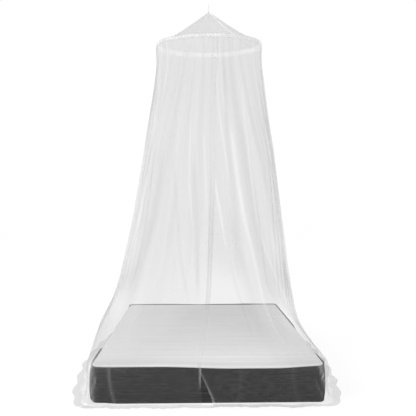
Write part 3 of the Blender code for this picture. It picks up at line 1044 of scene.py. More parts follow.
def loop_mesh():
    """Two plies twisted round the loop's line, and the whipped knot at its foot."""
    points, faces = [], []

    def take(found):
        start = len(points)
        points.extend(found[0])
        faces.extend(tuple(i + start for i in face) for face in found[1])

    steps, ply = 150, LOOP_CORD / 2
    for side in (0, pi):
        path = []
        for k in range(steps + 1):
            turn = mix(LOOP_START * 0.8, 2 * pi - LOOP_START * 0.8, k / steps)
            along = (loop_point(turn + 0.01) - loop_point(turn - 0.01)).normalized()
            out = along.cross(Vector((1, 0, 0)))
            twist = side + 2 * pi * LOOP_TWISTS * k / steps
            offset = (Vector((1, 0, 0)) * cos(twist) + out * sin(twist)) * ply
            path.append(loop_point(turn) + offset)
        take(strand(path, ply))
    centre = Vector((HOOP_OFFSET, 0, APEX_HEIGHT + NET_THICKNESS))
    steps, reach = 140, 0.86
    path = []
    for k in range(steps + 1):
        climb = mix(-reach, reach, k / steps)
        radius = (KNOT_RADIUS - KNOT_CORD) * (1 - climb**2) ** 0.5
        turn = 2 * pi * KNOT_WRAPS * k / steps
        path.append(centre + Vector((radius * cos(turn), radius * sin(turn), climb * KNOT_RADIUS)))
    take(strand(path, KNOT_CORD))
    return points, faces


def stitch_places():
    """The stitches' places, one line of points along each edge of each tape."""
    rows = []
    for number in range(TAPE_COUNT):
        azimuth = TAPE_AZIMUTH + 2 * pi * number / TAPE_COUNT
        across = Vector((sin(azimuth), -cos(azimuth), 0))
        for side in (-1, 1):
            row = []
            for k in range(STITCHES_PER_EDGE):
                climb = mix(0.015, 0.96, k / (STITCHES_PER_EDGE - 1))
                out = tape_half_width(climb) - STITCH_INSET
                point = crown_point(azimuth, climb) + across * side * out
                point.z += NET_THICKNESS + TAPE_GAP + TAPE_THICKNESS + STITCH_LIFT
                row.append(point)
            rows.append(row)
    return rows


# Geometry Nodes


def group_input(tree, name, kind, value):
    """A named input of the tree, and its default."""
    socket = tree.interface.new_socket(name=name, in_out="INPUT", socket_type=kind)
    if value is not None:
        socket.default_value = value
    return socket.identifier


def new_tree(name):
    """An empty tree with a geometry in and a geometry out."""
    tree = bpy.data.node_groups.new(name, "GeometryNodeTree")
    tree.is_modifier = True
    tree.interface.new_socket(name="Geometry", in_out="INPUT", socket_type="NodeSocketGeometry")
    tree.interface.new_socket(name="Geometry", in_out="OUTPUT", socket_type="NodeSocketGeometry")
    return tree


def finish_tree(tree, geometry, material):
    """Ends a tree: its geometry smooth, real and in its material."""
    soft = add_node(tree, "GeometryNodeSetShadeSmooth", inputs={"Geometry": geometry})
    real = add_node(
        tree, "GeometryNodeRealizeInstances", inputs={"Geometry": soft.outputs["Geometry"]}
    )
    dressed = add_node(
        tree,
        "GeometryNodeSetMaterial",
        inputs={"Geometry": real.outputs["Geometry"], "Material": material},
    )
    add_node(tree, "NodeGroupOutput", inputs={"Geometry": dressed.outputs["Geometry"]})


def keep_share(tree, curve, name):
    """Keeps each point's share of the way along a curve, under a name."""
    along = add_node(tree, "GeometryNodeSplineParameter")
    kept = add_node(tree, "GeometryNodeCaptureAttribute", {"domain": "POINT"}, {"Geometry": curve})
    kept.capture_items.new("FLOAT", name)
    tree.links.new(along.outputs["Factor"], kept.inputs[name])
    return kept


def settle(piece, name):
    """Turns a modifier's result into the piece's plain mesh, named name."""
    bpy.context.view_layer.update()
    graph = bpy.context.evaluated_depsgraph_get()
    mesh = bpy.data.meshes.new_from_object(piece.evaluated_get(graph))
    mesh.name = name
    piece.modifiers.clear()
    piece.data = mesh
    piece.name = name
    return piece


def casing_tree():
    """A sleeve that follows the hoop, gathered along its length and open underneath.

    The object's own mesh is the hoop's centre line, tilted as the hoop is.
    """
    tree = new_tree("Gathered Sleeve")
    keys = {
        "Half Width": group_input(tree, "Half Width", "NodeSocketFloat", CASING_HALF_WIDTH),
        "Half Height": group_input(tree, "Half Height", "NodeSocketFloat", CASING_HALF_HEIGHT),
        "Gathers": group_input(tree, "Gathers", "NodeSocketInt", 96),
        "Depth": group_input(tree, "Depth", "NodeSocketFloat", 0.002),
        "Seed": group_input(tree, "Seed", "NodeSocketInt", 3),
        "Material": group_input(tree, "Material", "NodeSocketMaterial", None),
    }
    source = add_node(tree, "NodeGroupInput").outputs
    line = add_node(tree, "GeometryNodeMeshToCurve", inputs={"Mesh": source["Geometry"]})
    way = keep_share(tree, line.outputs["Curve"], "Way")
    profile = add_node(
        tree,
        "GeometryNodeCurveArc",
        inputs={
            "Resolution": 26,
            "Radius": 1.0,
            "Start Angle": -pi / 2 + CASING_SLOT / 2,
            "Sweep Angle": 2 * pi - CASING_SLOT,
        },
    )
    turn = keep_share(tree, profile.outputs["Curve"], "Turn")
    size = add_node(
        tree,
        "ShaderNodeCombineXYZ",
        inputs={"X": source["Half Width"], "Y": source["Half Height"], "Z": 1.0},
    )
    oval = add_node(
        tree,
        "GeometryNodeTransform",
        inputs={"Geometry": turn.outputs["Geometry"], "Scale": size.outputs["Vector"]},
    )
    sleeve = add_node(
        tree,
        "GeometryNodeCurveToMesh",
        inputs={"Curve": way.outputs["Geometry"], "Profile Curve": oval.outputs["Geometry"]},
    )

    # Each gather is a wave along the sleeve, whose depth and place wander
    spun = add_node(
        tree,
        "ShaderNodeMath",
        {"operation": "MULTIPLY"},
        {0: way.outputs["Way"], 1: source["Gathers"]},
    )
    wander = add_node(
        tree,
        "ShaderNodeTexNoise",
        {"noise_dimensions": "4D"},
        {"W": source["Seed"], "Scale": 26.0, "Detail": 2.0},
    )
    drift = add_node(
        tree,
        "ShaderNodeMath",
        {"operation": "MULTIPLY_ADD"},
        {0: wander.outputs["Fac"], 1: 2.4, 2: spun.outputs["Value"]},
    )
    phase = add_node(
        tree, "ShaderNodeMath", {"operation": "MULTIPLY"}, {0: drift.outputs["Value"], 1: 2 * pi}
    )
    wave = add_node(tree, "ShaderNodeMath", {"operation": "SINE"}, {0: phase.outputs["Value"]})
    uneven = add_node(
        tree,
        "ShaderNodeTexNoise",
        {"noise_dimensions": "4D"},
        {"W": 8.0, "Scale": 9.0, "Detail": 3.0},
    )
    swell = add_node(
        tree,
        "ShaderNodeMath",
        {"operation": "MULTIPLY_ADD"},
        {0: wave.outputs["Value"], 1: uneven.outputs["Fac"], 2: uneven.outputs["Fac"]},
    )
    depth = add_node(
        tree,
        "ShaderNodeMath",
        {"operation": "MULTIPLY"},
        {0: swell.outputs["Value"], 1: source["Depth"]},
    )
    inward = add_node(
        tree, "ShaderNodeMath", {"operation": "MULTIPLY"}, {0: depth.outputs["Value"], 1: -1.0}
    )
    normal = add_node(tree, "GeometryNodeInputNormal")
    offset = add_node(
        tree,
        "ShaderNodeVectorMath",
        {"operation": "SCALE"},
        {0: normal.outputs["Normal"], "Scale": inward.outputs["Value"]},
    )
    moved = add_node(
        tree,
        "GeometryNodeSetPosition",
        inputs={"Geometry": sleeve.outputs["Mesh"], "Offset": offset.outputs["Vector"]},
    )
    # Its gathers lie closer in some places than in others. Its far half is painted paler and given
    # a painted glow, standing in for light from behind that comes through it
    place = add_node(tree, "GeometryNodeInputPosition")
    apart = add_node(tree, "ShaderNodeSeparateXYZ", inputs={"Vector": place.outputs["Position"]})
    far = add_node(
        tree,
        "ShaderNodeMapRange",
        {"interpolation_type": "SMOOTHSTEP"},
        {"Value": apart.outputs["Y"], 1: -0.30, 2: 0.15, 3: 0.0, 4: 1.0},
    )
    kept = moved
    for name, crest, furrow, patches, painted_backlight in (
        ("cover", 0.58, 0.52, 0.24, 0.04),
        ("white", 0.84, 0.77, 0.36, 0.12),
        ("glow", 0.00, 0.00, 0.00, 0.19),
    ):
        close = add_node(
            tree,
            "ShaderNodeMapRange",
            inputs={"Value": wave.outputs["Value"], 1: -1.0, 2: 1.0, 3: crest, 4: furrow},
        )
        patch = add_node(
            tree,
            "ShaderNodeMapRange",
            inputs={"Value": uneven.outputs["Fac"], 1: 0.0, 2: 1.0, 3: -patches / 2, 4: patches / 2},
        )
        patchy = add_node(
            tree,
            "ShaderNodeMath",
            {"operation": "ADD"},
            {0: close.outputs["Result"], 1: patch.outputs["Result"]},
        )
        paler = add_node(
            tree,
            "ShaderNodeMath",
            {"operation": "MULTIPLY_ADD", "use_clamp": True},
            {0: far.outputs["Result"], 1: painted_backlight, 2: patchy.outputs["Value"]},
        )
        kept = add_node(
            tree,
            "GeometryNodeStoreNamedAttribute",
            {"data_type": "FLOAT", "domain": "POINT"},
            {"Geometry": kept.outputs["Geometry"], "Name": name, "Value": paler.outputs["Value"]},
        )
    flat = add_node(
        tree,
        "ShaderNodeCombineXYZ",
        inputs={"X": way.outputs["Way"], "Y": turn.outputs["Turn"]},
    )
    metres = add_node(
        tree,
        "ShaderNodeVectorMath",
        {"operation": "MULTIPLY"},
        {0: flat.outputs["Vector"], 1: (2 * pi * HOOP_RADIUS, CASING_FLAT[1], 0.0)},
    )
    mapped = add_node(
        tree,
        "GeometryNodeStoreNamedAttribute",
        {"data_type": "FLOAT2", "domain": "CORNER"},
        {"Geometry": kept.outputs["Geometry"], "Name": "cloth", "Value": metres.outputs["Vector"]},
    )
    finish_tree(tree, mapped.outputs["Geometry"], source["Material"])
    return tree, keys


def stitch_tree():
    """Stitches laid along each line of the object's mesh, one for each of its points."""
    tree = new_tree("Stitch Rows")
    keys = {
        "Length": group_input(tree, "Length", "NodeSocketFloat", 0.0032),
        "Thickness": group_input(tree, "Thickness", "NodeSocketFloat", STITCH_THICKNESS),
        "Material": group_input(tree, "Material", "NodeSocketMaterial", None),
    }
    source = add_node(tree, "NodeGroupInput").outputs
    line = add_node(tree, "GeometryNodeMeshToCurve", inputs={"Mesh": source["Geometry"]})
    places = add_node(
        tree, "GeometryNodeCurveToPoints", {"mode": "EVALUATED"}, {"Curve": line.outputs["Curve"]}
    )
    ball = add_node(
        tree, "GeometryNodeMeshUVSphere", inputs={"Segments": 8, "Rings": 5, "Radius": 0.5}
    )
    size = add_node(
        tree,
        "ShaderNodeCombineXYZ",
        inputs={"X": source["Length"], "Y": source["Thickness"], "Z": source["Thickness"]},
    )
    stitch = add_node(
        tree,
        "GeometryNodeTransform",
        inputs={"Geometry": ball.outputs["Mesh"], "Scale": size.outputs["Vector"]},
    )
    copies = add_node(
        tree,
        "GeometryNodeInstanceOnPoints",
        inputs={
            "Points": places.outputs["Points"],
            "Instance": stitch.outputs["Geometry"],
            "Rotation": places.outputs["Rotation"],
        },
    )
    turned = add_node(
        tree,
        "GeometryNodeRotateInstances",
        inputs={"Instances": copies.outputs["Instances"], "Rotation": (0.0, pi / 2, 0.0)},
    )
    finish_tree(tree, turned.outputs["Instances"], source["Material"])
    return tree, keys


def lines_object(name, lines, closed=False):
    """A mesh of edges only, one line of points after another."""
    mesh = bpy.data.meshes.new(name)
    points, edges = [], []
    for line in lines:
        start = len(points)
        points += [tuple(point) for point in line]
        edges += [(start + i, start + i + 1) for i in range(len(line) - 1)]
        if closed:
            edges.append((start + len(line) - 1, start))
    mesh.from_pydata(points, edges, [])
    piece = bpy.data.objects.new(name, mesh)
    bpy.context.scene.collection.objects.link(piece)
    return piece


def run_tree(piece, tree, keys, values, name):
    """Runs a tree on a piece with its named inputs set, and keeps the mesh."""
    modifier = piece.modifiers.new(tree.name, "NODES")
    modifier.node_group = tree
    for label, value in values.items():
        modifier[keys[label]] = value
    return settle(piece, name)


# Mattress


def rounded_loop(inset, height, arc_steps, straight_steps):
    """One level of the mattress's outline, moved in by inset, as a ring of points."""
    corner = max(MATTRESS_CORNER - inset, 0.02)
    half_width = MATTRESS_WIDTH / 2 - inset
    half_length = MATTRESS_LENGTH / 2 - inset
    across, along = half_width - corner, half_length - corner
    centres = ((across, -along), (across, along), (-across, along), (-across, -along))
    points = []
    for quarter, centre in enumerate(centres):
        for i in range(arc_steps + 1):
            angle = (quarter - 1 + i / arc_steps) * pi / 2
            x, y = centre[0] + corner * cos(angle), centre[1] + corner * sin(angle)
            points.append(Vector((x, y, height)))
        after = centres[(quarter + 1) % 4]
        angle = quarter * pi / 2
        start = points[-1]
        end = Vector((after[0] + corner * cos(angle), after[1] + corner * sin(angle), height))
        for i in range(1, straight_steps):
            points.append(start.lerp(end, i / straight_steps))
    return points


def welt_rise(x, y):
    """How far the body's taped edge stands above the pad: at the back, the right and the corners."""
    back = smooth((y - 0.93) / 0.06) * (1 - 0.65 * smooth((x + 0.30) / 0.15) * smooth((0.42 - x) / 0.15))
    right = smooth((x - 0.60) / 0.06) * smooth((y + 0.10) / 0.35)
    left_corner = smooth((-x - 0.55) / 0.10) * smooth((-0.54 - y) / 0.14) * smooth((y + 1.01) / 0.10)
    right_corner = smooth((x - 0.60) / 0.08) * smooth((-0.66 - y) / 0.12) * smooth((y + 1.01) / 0.06)
    right_lift = 0.0005 + 0.0003 * smooth((-0.84 - y) / 0.10)
    lift = WELT_BACK * back + WELT_SIDE * right + WELT_SIDE * left_corner
    lift += right_lift * right_corner
    return float(min(lift, WELT_LIMIT) * (1 + 0.25 * sin(9 * x + 5 * y)))


def front_sag(x, y):
    """How far the top has sunk along its front edge, right of the middle."""
    across = smooth((x + 0.30) / 0.45) * smooth((0.68 - x) / 0.28)
    return float(FRONT_SAG * across * smooth((-0.80 - y) / 0.18))


def border_mesh():
    """The knitted body's side, slightly uneven in its bulge, its taped edge and its foot."""
    arc_steps, straight_steps = 8, 34
    points, uv = [], []
    for height, inset in MATTRESS_BORDER_PROFILE:
        loop = rounded_loop(inset, height, arc_steps, straight_steps)
        # The front's foot is pressed square by the floor, apart from its left end
        pressed_foot = rounded_loop(min(inset, 0.2 * inset), height, arc_steps, straight_steps)
        way = 0.0
        for k, point in enumerate(loop):
            if k:
                way += (point - loop[k - 1]).length
            pressed = smooth((-0.60 - point.y) / 0.30) * smooth((point.x + 0.66) / 0.14)
            point = point.lerp(pressed_foot[k], float(pressed) if height < BORDER_HEIGHT / 4 else 0.0)
            bow = sin(pi * min(height / BORDER_HEIGHT, 1)) ** 2
            uneven = sin(way * 7.1) + sin(way * 12.7 + 1) + 0.6 * sin(way * 23 + 2)
            ease = BULGE_UNEVENNESS * bow * uneven
            out = Vector((point.x / MATTRESS_WIDTH, point.y / MATTRESS_LENGTH, 0)).normalized()
            point.z -= front_sag(point.x, point.y) * float(smooth((height - 0.09) / 0.11))
            points.append(point - out * max(ease, -0.0005))
            uv.append((way, height))
    for along_welt, inset in WELT_PROFILE:
        loop = rounded_loop(inset, BORDER_HEIGHT, arc_steps, straight_steps)
        way = 0.0
        for k, point in enumerate(loop):
            if k:
                way += (point - loop[k - 1]).length
            rise = welt_rise(point.x, point.y)
            point.z += (PAD_HEIGHT + rise) * along_welt * min(rise / 0.001, 1.0)
            point.z -= front_sag(point.x, point.y)
            points.append(point)
            uv.append((way, BORDER_HEIGHT + 0.02 * along_welt))
    rows = len(MATTRESS_BORDER_PROFILE) + len(WELT_PROFILE)
    columns = len(points) // rows
    faces = grid_faces(rows, columns, closed=True)
    close_ends(faces, rows, columns)
    return points, faces, uv


def rib(x, y, settings):
    """The height of the top's crosswise ridges, uneven, less its soft creases."""
    wander = 0.35 * sin(3.1 * y) + 0.22 * sin(9.7 * y + 1.3) + 0.10 * sin(2.3 * x + 4 * y)
    wave = sin(2 * pi * y / settings.rib_pitch + 2.2 * wander)
    height = settings.rib_height * (0.5 + 0.5 * wave) * (0.65 + 0.35 * sin(5.3 * y + 0.7))
    for line, start, end, width, depth in TOP_CREASES:
        away = (y - line - 0.012 * sin(5 * x + 40 * line)) / width
        reach = smooth((x - start) / 0.15) * smooth((end - x) / 0.15)
        height -= float(depth * np.exp(-(away**2)) * reach)
    return height


def pad_mesh(settings):
    """The ribbed top panel: a grid that follows the rounded outline, and its rolled rim."""
    inset = PAD_INSET + RIM_WIDTH
    half_width = MATTRESS_WIDTH / 2 - inset
    half_length = MATTRESS_LENGTH / 2 - inset
    corner = max(MATTRESS_CORNER - inset, 0.02)
    columns, rows = 61, 321
    points, uv = [], []
    for j in range(rows):
        y = mix(-half_length, half_length, j / (rows - 1))
        into = max(abs(y) - (half_length - corner), 0.0)
        x_reach = half_width - corner + (max(corner**2 - into**2, 0.0)) ** 0.5
        for i in range(columns):
            part = 2 * i / (columns - 1) - 1
            edge = min(1 - abs(part), (half_length - abs(y)) / half_width)
            settle_in = float(smooth(edge / 0.05))
            x = part * x_reach
            height = MATTRESS_HEIGHT - PAD_SINK + (rib(x, y, settings) + 0.0007) * settle_in
            height += 0.0004 * sin(4 * x + 2) * sin(5 * y) * settle_in
            points.append(Vector((x, y, height - front_sag(x, y))))
            uv.append((x, y))
    faces = grid_faces(rows, columns)
    rim = list(range(columns))
    rim += [r * columns + columns - 1 for r in range(1, rows)]
    rim += [(rows - 1) * columns + c for c in range(columns - 2, -1, -1)]
    rim += [r * columns for r in range(rows - 2, 0, -1)]
    previous = rim
    for drop, reach in PAD_RIM:
        start = len(points)
        for k in rim:
            x, y = points[k].x, points[k].y
            centre = Vector((
                max(min(x, half_width - corner), corner - half_width),
                max(min(y, half_length - corner), corner - half_length),
            ))
            out = (Vector((x, y)) - centre).normalized()
            height = MATTRESS_HEIGHT - RIM_SINK - drop - front_sag(x, y)
            points.append(Vector((x + out.x * reach, y + out.y * reach, height)))
            uv.append((x + out.x * (reach + drop), y + out.y * (reach + drop)))
        ring = list(range(start, start + len(rim)))
        for k in range(len(rim)):
            after = (k + 1) % len(rim)
            faces.append((previous[k], ring[k], ring[after], previous[after]))
        previous = ring
    faces.append(tuple(previous))
    return points, faces, uv


# Materials


def streaks(tree, place, fineness):
    """Noise drawn out into streaks, with its fineness along each axis."""
    stretched = add_node(tree, "ShaderNodeMapping", inputs={"Vector": place, "Scale": fineness})
    return add_node(
        tree,
        "ShaderNodeTexNoise",
        inputs={"Vector": stretched.outputs["Vector"], "Scale": 1.0, "Detail": 4.0},
    )


def dress_shader(tree, shader, colour, shade, relief=None, strength=0.0, depth=0.0):
    """Gives a shader its colour, shaded by a pattern, and where there is one its relief."""
    tinted = add_node(
        tree, "ShaderNodeVectorMath", {"operation": "SCALE"}, {0: tuple(colour), "Scale": shade}
    )
    tree.links.new(tinted.outputs["Vector"], shader.inputs["Base Color"])
    if relief is not None:
        bump = add_node(
            tree,
            "ShaderNodeBump",
            inputs={"Height": relief, "Strength": strength, "Distance": depth},
        )
        tree.links.new(bump.outputs["Normal"], shader.inputs["Normal"])


def knitted_net(name, settings):
    """Knitted polyester net: open, it only greys what lies behind it; gathered, it turns white."""
    material, tree, shader = new_material(name, 0.75, specular=0.1)
    cover = add_node(tree, "ShaderNodeAttribute", {"attribute_name": "cover"})
    white = add_node(tree, "ShaderNodeAttribute", {"attribute_name": "white"})
    cloth = add_node(tree, "ShaderNodeUVMap", {"uv_map": "cloth"})
    # The real holes are 1.5 mm apart, too fine to show, so the threads are drawn three times
    # as coarse
    drawn = 3 * settings.thread_pitch
    threads = []
    for slant in (1, -1):
        leaning = add_node(
            tree,
            "ShaderNodeMapping",
            inputs={"Vector": cloth.outputs["UV"], "Scale": (slant, 1.0, 1.0)},
        )
        threads.append(
            add_node(
                tree,
                "ShaderNodeTexWave",
                {"wave_type": "BANDS", "bands_direction": "DIAGONAL"},
                {"Vector": leaning.outputs["Vector"], "Scale": BAND_SPACING / drawn, "Distortion": 0.0},
            )
        )
    lattice = add_node(
        tree,
        "ShaderNodeMath",
        {"operation": "MAXIMUM"},
        {0: threads[0].outputs["Fac"], 1: threads[1].outputs["Fac"]},
    )
    knit = add_node(
        tree,
        "ShaderNodeMapRange",
        inputs={"Value": lattice.outputs["Value"], 3: 0.94, 4: 1.035},
    )
    alpha = add_node(
        tree,
        "ShaderNodeMath",
        {"operation": "MULTIPLY", "use_clamp": True},
        {0: cover.outputs["Fac"], 1: knit.outputs["Result"]},
    )
    tree.links.new(alpha.outputs["Value"], shader.inputs["Alpha"])
    colour = add_node(
        tree,
        "ShaderNodeMix",
        {"data_type": "RGBA"},
        {
            0: white.outputs["Fac"],
            6: (*settings.open_colour, 1.0),
            7: (*settings.gathered_colour, 1.0),
        },
    )
    tree.links.new(colour.outputs[2], shader.inputs["Base Color"])
    # Painted glow: where the cloth is doubled, an even emission stands in for the light behind it
    # coming through
    glow = add_node(tree, "ShaderNodeAttribute", {"attribute_name": "glow"})
    tree.links.new(glow.outputs["Fac"], shader.inputs["Emission Strength"])
    shader.inputs["Emission Color"].default_value = (1.0, 1.0, 1.0, 1.0)
    return material


def woven_tape(name, colour):
    """Woven polyester tape and cord: fine diagonal twill that catches a little light."""
    material, tree, shader = new_material(name, 0.7, sheen=0.15)
    place = add_node(tree, "ShaderNodeTexCoord")
    twill = add_node(
        tree,
        "ShaderNodeTexWave",
        {"wave_type": "BANDS", "bands_direction": "DIAGONAL"},
        {"Vector": place.outputs["Object"], "Scale": BAND_SPACING / TWILL_PITCH, "Distortion": 0.4},
    )
    shade = add_node(
        tree,
        "ShaderNodeMapRange",
        inputs={"Value": twill.outputs["Fac"], 3: 0.90, 4: 1.0},
    )
    dress_shader(tree, shader, colour, shade.outputs["Result"], twill.outputs["Fac"], 0.4, 0.0003)
    return material


def plastic_rod(name, settings):
    """Extruded PVC rod: smooth and satin, with a faint handling haze."""
    material, tree, shader = new_material(name, 0.42, specular=0.5)
    place = add_node(tree, "ShaderNodeTexCoord")
    haze = add_node(
        tree, "ShaderNodeTexNoise", inputs={"Vector": place.outputs["Object"], "Scale": 30.0}
    )
    rough = add_node(
        tree, "ShaderNodeMapRange", inputs={"Value": haze.outputs["Fac"], 3: 0.34, 4: 0.50}
    )
    tree.links.new(rough.outputs["Result"], shader.inputs["Roughness"])
    tone = add_node(
        tree, "ShaderNodeMapRange", inputs={"Value": haze.outputs["Fac"], 3: 0.95, 4: 1.0}
    )
    dress_shader(tree, shader, settings.rod_colour, tone.outputs["Result"])
    return material


def border_knit(name, settings):
    """Warp-knitted polyester border: charcoal, matt, with faint level courses and a heather."""
    material, tree, shader = new_material(name, 0.88, sheen=0.05, specular=0.15)
    cloth = add_node(tree, "ShaderNodeUVMap", {"uv_map": "cloth"})
    # The courses are 3 mm apart, too fine to show, so they are drawn six times as coarse
    courses = add_node(
        tree,
        "ShaderNodeTexWave",
        {"wave_type": "BANDS", "bands_direction": "Y"},
        {"Vector": cloth.outputs["UV"], "Scale": BAND_SPACING / 0.018, "Distortion": 0.8, "Detail": 1.0},
    )
    heather = streaks(tree, cloth.outputs["UV"], (22.0, 58.0, 1.0))
    both = add_node(
        tree,
        "ShaderNodeMath",
        {"operation": "MULTIPLY_ADD"},
        {0: courses.outputs["Fac"], 1: 0.15, 2: heather.outputs["Fac"]},
    )
    tone = add_node(
        tree,
        "ShaderNodeMapRange",
        inputs={"Value": both.outputs["Value"], 1: 0.44, 2: 0.76, 3: 0.66, 4: 1.32},
    )
    colour = settings.border_colour
    dress_shader(tree, shader, colour, tone.outputs["Result"], both.outputs["Value"], 0.4, 0.002)
    return material


def top_knit(name, settings):
    """Jersey ticking: pale grey-white, matt, with crosswise ribs and a soft heather."""
    material, tree, shader = new_material(name, 0.9, sheen=0.05, specular=0.15)
    place = add_node(tree, "ShaderNodeTexCoord")
    heather = streaks(tree, place.outputs["Object"], (1.6, 26.0, 26.0))
    tone = add_node(
        tree,
        "ShaderNodeMapRange",
        inputs={"Value": heather.outputs["Fac"], 1: 0.3, 2: 0.7, 3: 0.925, 4: 1.01},
    )
    # The net's shade: soft, deepening towards the head end and a little to the right, and at the
    # rim, which rolls down
    apart = add_node(tree, "ShaderNodeSeparateXYZ", inputs={"Vector": place.outputs["Object"]})
    shaded = tone.outputs["Result"]
    for axis, start, end, at_start, at_end in (
        ("Y", -0.60, 0.80, 1.06, 0.91),
        ("Y", -0.99, -0.84, 0.84, 1.0),
        ("X", -0.70, 0.70, 1.02, 0.97),
    ):
        shade = add_node(
            tree,
            "ShaderNodeMapRange",
            inputs={"Value": apart.outputs[axis], 1: start, 2: end, 3: at_start, 4: at_end},
        )
        product = add_node(
            tree, "ShaderNodeMath", {"operation": "MULTIPLY"}, {0: shaded, 1: shade.outputs["Result"]}
        )
        shaded = product.outputs["Value"]
    # The stitches are 2 mm apart, too fine to show, so they are drawn ten times as coarse
    stitches = add_node(
        tree,
        "ShaderNodeTexWave",
        {"wave_type": "BANDS", "bands_direction": "Y"},
        {"Vector": place.outputs["Object"], "Scale": BAND_SPACING / 0.020, "Distortion": 0.8},
    )
    dress_shader(tree, shader, settings.top_colour, shaded, stitches.outputs["Fac"], 0.25, 0.0006)
    return material


def studio_floor(name):
    """Painted studio floor: matt, and white mostly by its own glow, so shadows stay faint."""
    material, tree, shader = new_material(name, 0.95, specular=0.0)
    place = add_node(tree, "ShaderNodeTexCoord")
    faint = add_node(
        tree, "ShaderNodeTexNoise", inputs={"Vector": place.outputs["Object"], "Scale": 0.6}
    )
    tone = add_node(
        tree, "ShaderNodeMapRange", inputs={"Value": faint.outputs["Fac"], 3: 0.27, 4: 0.28}
    )
    tree.links.new(tone.outputs["Result"], shader.inputs["Base Color"])
    shader.inputs["Emission Color"].default_value = (1.0, 1.0, 1.0, 1.0)
    shader.inputs["Emission Strength"].default_value = FLOOR_GLOW
    return material


def finish_piece(piece, slot, *nodes):
    """Sets a piece to ride with the object, in place of the named solids."""
    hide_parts(*nodes)
    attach(piece, "root")
    return piece


# Operators


class OBJECT_OT_canopy_skirt(bpy.types.Operator):
    """Hang the skirt from the hoop, over the mattress and down to the floor"""

    bl_idname = "object.canopy_skirt"
    bl_label = "Hang Skirt"

    def execute(self, context):
        settings = context.scene.canopy_net
        points, faces, uv, looks = skirt_mesh(settings)
        net = knitted_net("Knitted polyester net", settings)
        skirt = add_piece("net_skirt", points, faces, net, uv, looks)
        finish_piece(skirt, "netting", "skirt")
        return {"FINISHED"}


class OBJECT_OT_canopy_crown(bpy.types.Operator):
    """Stretch the conical top from the hoop to the knot"""

    bl_idname = "object.canopy_crown"
    bl_label = "Stretch Crown"

    def execute(self, context):
        settings = context.scene.canopy_net
        points, faces, uv, looks = crown_mesh(settings)
        net = knitted_net("Knitted polyester crown net", settings)
        crown = add_piece("net_crown", points, faces, net, uv, looks)
        finish_piece(crown, "netting", "crown")
        return {"FINISHED"}


class OBJECT_OT_canopy_casing(bpy.types.Operator):
    """Gather the casing round the hoop, and put the rod in it"""

    bl_idname = "object.canopy_casing"
    bl_label = "Gather Casing"

    def execute(self, context):
        trim = context.scene.canopy_trim
        net = knitted_net("Gathered polyester net", context.scene.canopy_net)
        count = 720
        line = [ring_point(2 * pi * i / count, 0.0, 0.0) for i in range(count)]
        piece = lines_object("casing_line", [line], closed=True)
        tree, keys = casing_tree()
        values = {"Gathers": trim.gathers, "Depth": trim.gather_depth, "Material": net}
        casing = run_tree(piece, tree, keys, values, "casing_sleeve")
        finish_piece(casing, "netting", "casing")
        rod = plastic_rod("Extruded PVC rod", trim)
        points, faces = hoop_mesh()
        finish_piece(add_piece("hoop_rod", points, faces, rod), "rod", "hoop")
        return {"FINISHED"}


class OBJECT_OT_canopy_tapes(bpy.types.Operator):
    """Lay the four carrying tapes on the crown, and stitch them down"""

    bl_idname = "object.canopy_tapes"
    bl_label = "Lay Tapes"

    def execute(self, context):
        trim = context.scene.canopy_trim
        tape = woven_tape("Woven polyester tape", trim.tape_colour)
        for number in range(TAPE_COUNT):
            points, faces, uv = tape_mesh(number)
            name = f"tape_{number + 1}"
            piece = add_piece(f"woven_{name}", points, faces, tape, uv)
            finish_piece(piece, "webbing", name)
        piece = lines_object("stitch_lines", stitch_places())
        tree, keys = stitch_tree()
        thread = woven_tape("Spun polyester thread", trim.tape_colour)
        values = {"Length": trim.stitch_length, "Thickness": STITCH_THICKNESS, "Material": thread}
        stitches = run_tree(piece, tree, keys, values, "tape_stitches")
        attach(stitches, "root")
        return {"FINISHED"}


class OBJECT_OT_canopy_loop(bpy.types.Operator):
    """Twist the hanging loop and wind its knot"""

    bl_idname = "object.canopy_loop"
    bl_label = "Twist Loop"

    def execute(self, context):
        trim = context.scene.canopy_trim
        cord = woven_tape("Twisted polyester cord", trim.cord_colour)
        points, faces = loop_mesh()
        finish_piece(add_piece("cord_loop", points, faces, cord), "webbing", "hanging_loop")
        return {"FINISHED"}


class OBJECT_OT_canopy_mattress(bpy.types.Operator):
    """Cover the mattress with its charcoal border and its ribbed top"""

    bl_idname = "object.canopy_mattress"
    bl_label = "Cover Mattress"

    def execute(self, context):
        settings = context.scene.canopy_mattress
        points, faces, uv = border_mesh()
        knit = border_knit("Warp-knitted polyester border", settings)
        border = add_piece("mattress_body", points, faces, knit, uv)
        finish_piece(border, "border", "mattress_border")
        points, faces, uv = pad_mesh(settings)
        jersey = top_knit("Jersey ticking", settings)
        top = add_piece("mattress_top", points, faces, jersey, uv)
        finish_piece(top, "pad", "mattress_pad")
        return {"FINISHED"}


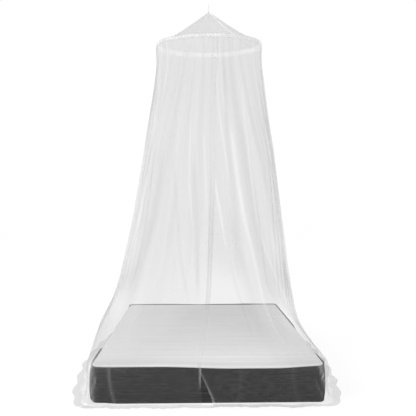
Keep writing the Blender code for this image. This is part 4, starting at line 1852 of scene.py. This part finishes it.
class OBJECT_OT_canopy_stage(bpy.types.Operator):
    """Set the floor, the soft light and the camera"""

    bl_idname = "object.canopy_stage"
    bl_label = "Set Stage"

    def execute(self, context):
        scene = context.scene
        half = FLOOR_HALF_WIDTH
        corners = [(-half, -half), (half, -half), (half, half), (-half, half)]
        floor = add_piece(
            "studio_floor",
            [(x, y, FLOOR_HEIGHT) for x, y in corners],
            [(0, 1, 2, 3)],
            studio_floor("Painted studio floor"),
        )

        world = bpy.data.worlds.new("Studio")
        world.use_nodes = True
        scene.world = world
        tree = world.node_tree
        background = tree.nodes["Background"]
        rays = add_node(tree, "ShaderNodeLightPath")
        strength = add_node(
            tree,
            "ShaderNodeMapRange",
            inputs={"Value": rays.outputs["Is Camera Ray"], 3: SKY_LIGHT, 4: SKY_SEEN},
        )
        background.inputs["Color"].default_value = (1.0, 1.0, 1.0, 1.0)
        tree.links.new(strength.outputs["Result"], background.inputs["Strength"])

        for name, width, height, watts, place, target in LAMPS:
            lamp = bpy.data.lights.new(name, "AREA")
            lamp.shape = "RECTANGLE"
            lamp.size = width
            lamp.size_y = height
            lamp.energy = watts
            light = bpy.data.objects.new(name, lamp)
            light.location = place
            aim = Vector(target) - Vector(place)
            light.rotation_euler = aim.to_track_quat("-Z", "Y").to_euler()
            scene.collection.objects.link(light)

        eye = bpy.data.cameras.new("camera")
        eye.lens = CAMERA_LENS
        eye.sensor_width = CAMERA_SENSOR
        eye.clip_end = CAMERA_REACH
        camera = bpy.data.objects.new("camera", eye)
        camera.location = CAMERA_PLACE
        camera.rotation_euler = CAMERA_TURN
        scene.collection.objects.link(camera)
        scene.camera = camera
        scene.view_settings.view_transform = "Standard"
        return {"FINISHED"}


OPERATORS = (
    OBJECT_OT_canopy_stage,
    OBJECT_OT_canopy_mattress,
    OBJECT_OT_canopy_casing,
    OBJECT_OT_canopy_crown,
    OBJECT_OT_canopy_skirt,
    OBJECT_OT_canopy_tapes,
    OBJECT_OT_canopy_loop,
)


class VIEW3D_PT_canopy(bpy.types.Panel):
    """Lists the canopy's operators and their sizes"""

    bl_label = "Net Canopy"
    bl_idname = "VIEW3D_PT_canopy"
    bl_space_type = "VIEW_3D"
    bl_region_type = "UI"
    bl_category = "Canopy"

    def draw(self, context):
        for group in ("canopy_net", "canopy_trim", "canopy_mattress"):
            settings = getattr(context.scene, group)
            box = self.layout.box()
            for name in settings.__annotations__:
                box.prop(settings, name)
        for operator in OPERATORS:
            self.layout.operator(operator.bl_idname)


CLASSES = (
    CanopyNetSettings,
    CanopyTrimSettings,
    CanopyMattressSettings,
    *OPERATORS,
    VIEW3D_PT_canopy,
)


def register():
    """Registers the classes, and gives the scene their settings."""
    for item in CLASSES:
        bpy.utils.register_class(item)
    bpy.types.Scene.canopy_net = PointerProperty(type=CanopyNetSettings)
    bpy.types.Scene.canopy_trim = PointerProperty(type=CanopyTrimSettings)
    bpy.types.Scene.canopy_mattress = PointerProperty(type=CanopyMattressSettings)


def unregister():
    """Takes the settings and the classes away again."""
    del bpy.types.Scene.canopy_mattress
    del bpy.types.Scene.canopy_trim
    del bpy.types.Scene.canopy_net
    for item in reversed(CLASSES):
        bpy.utils.unregister_class(item)


def main():
    """Sets the stage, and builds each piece."""
    register()
    bpy.ops.object.canopy_stage()
    bpy.ops.object.canopy_mattress()
    bpy.ops.object.canopy_casing()
    bpy.ops.object.canopy_crown()
    bpy.ops.object.canopy_skirt()
    bpy.ops.object.canopy_tapes()
    bpy.ops.object.canopy_loop()


if __name__ == "__main__":
    main()
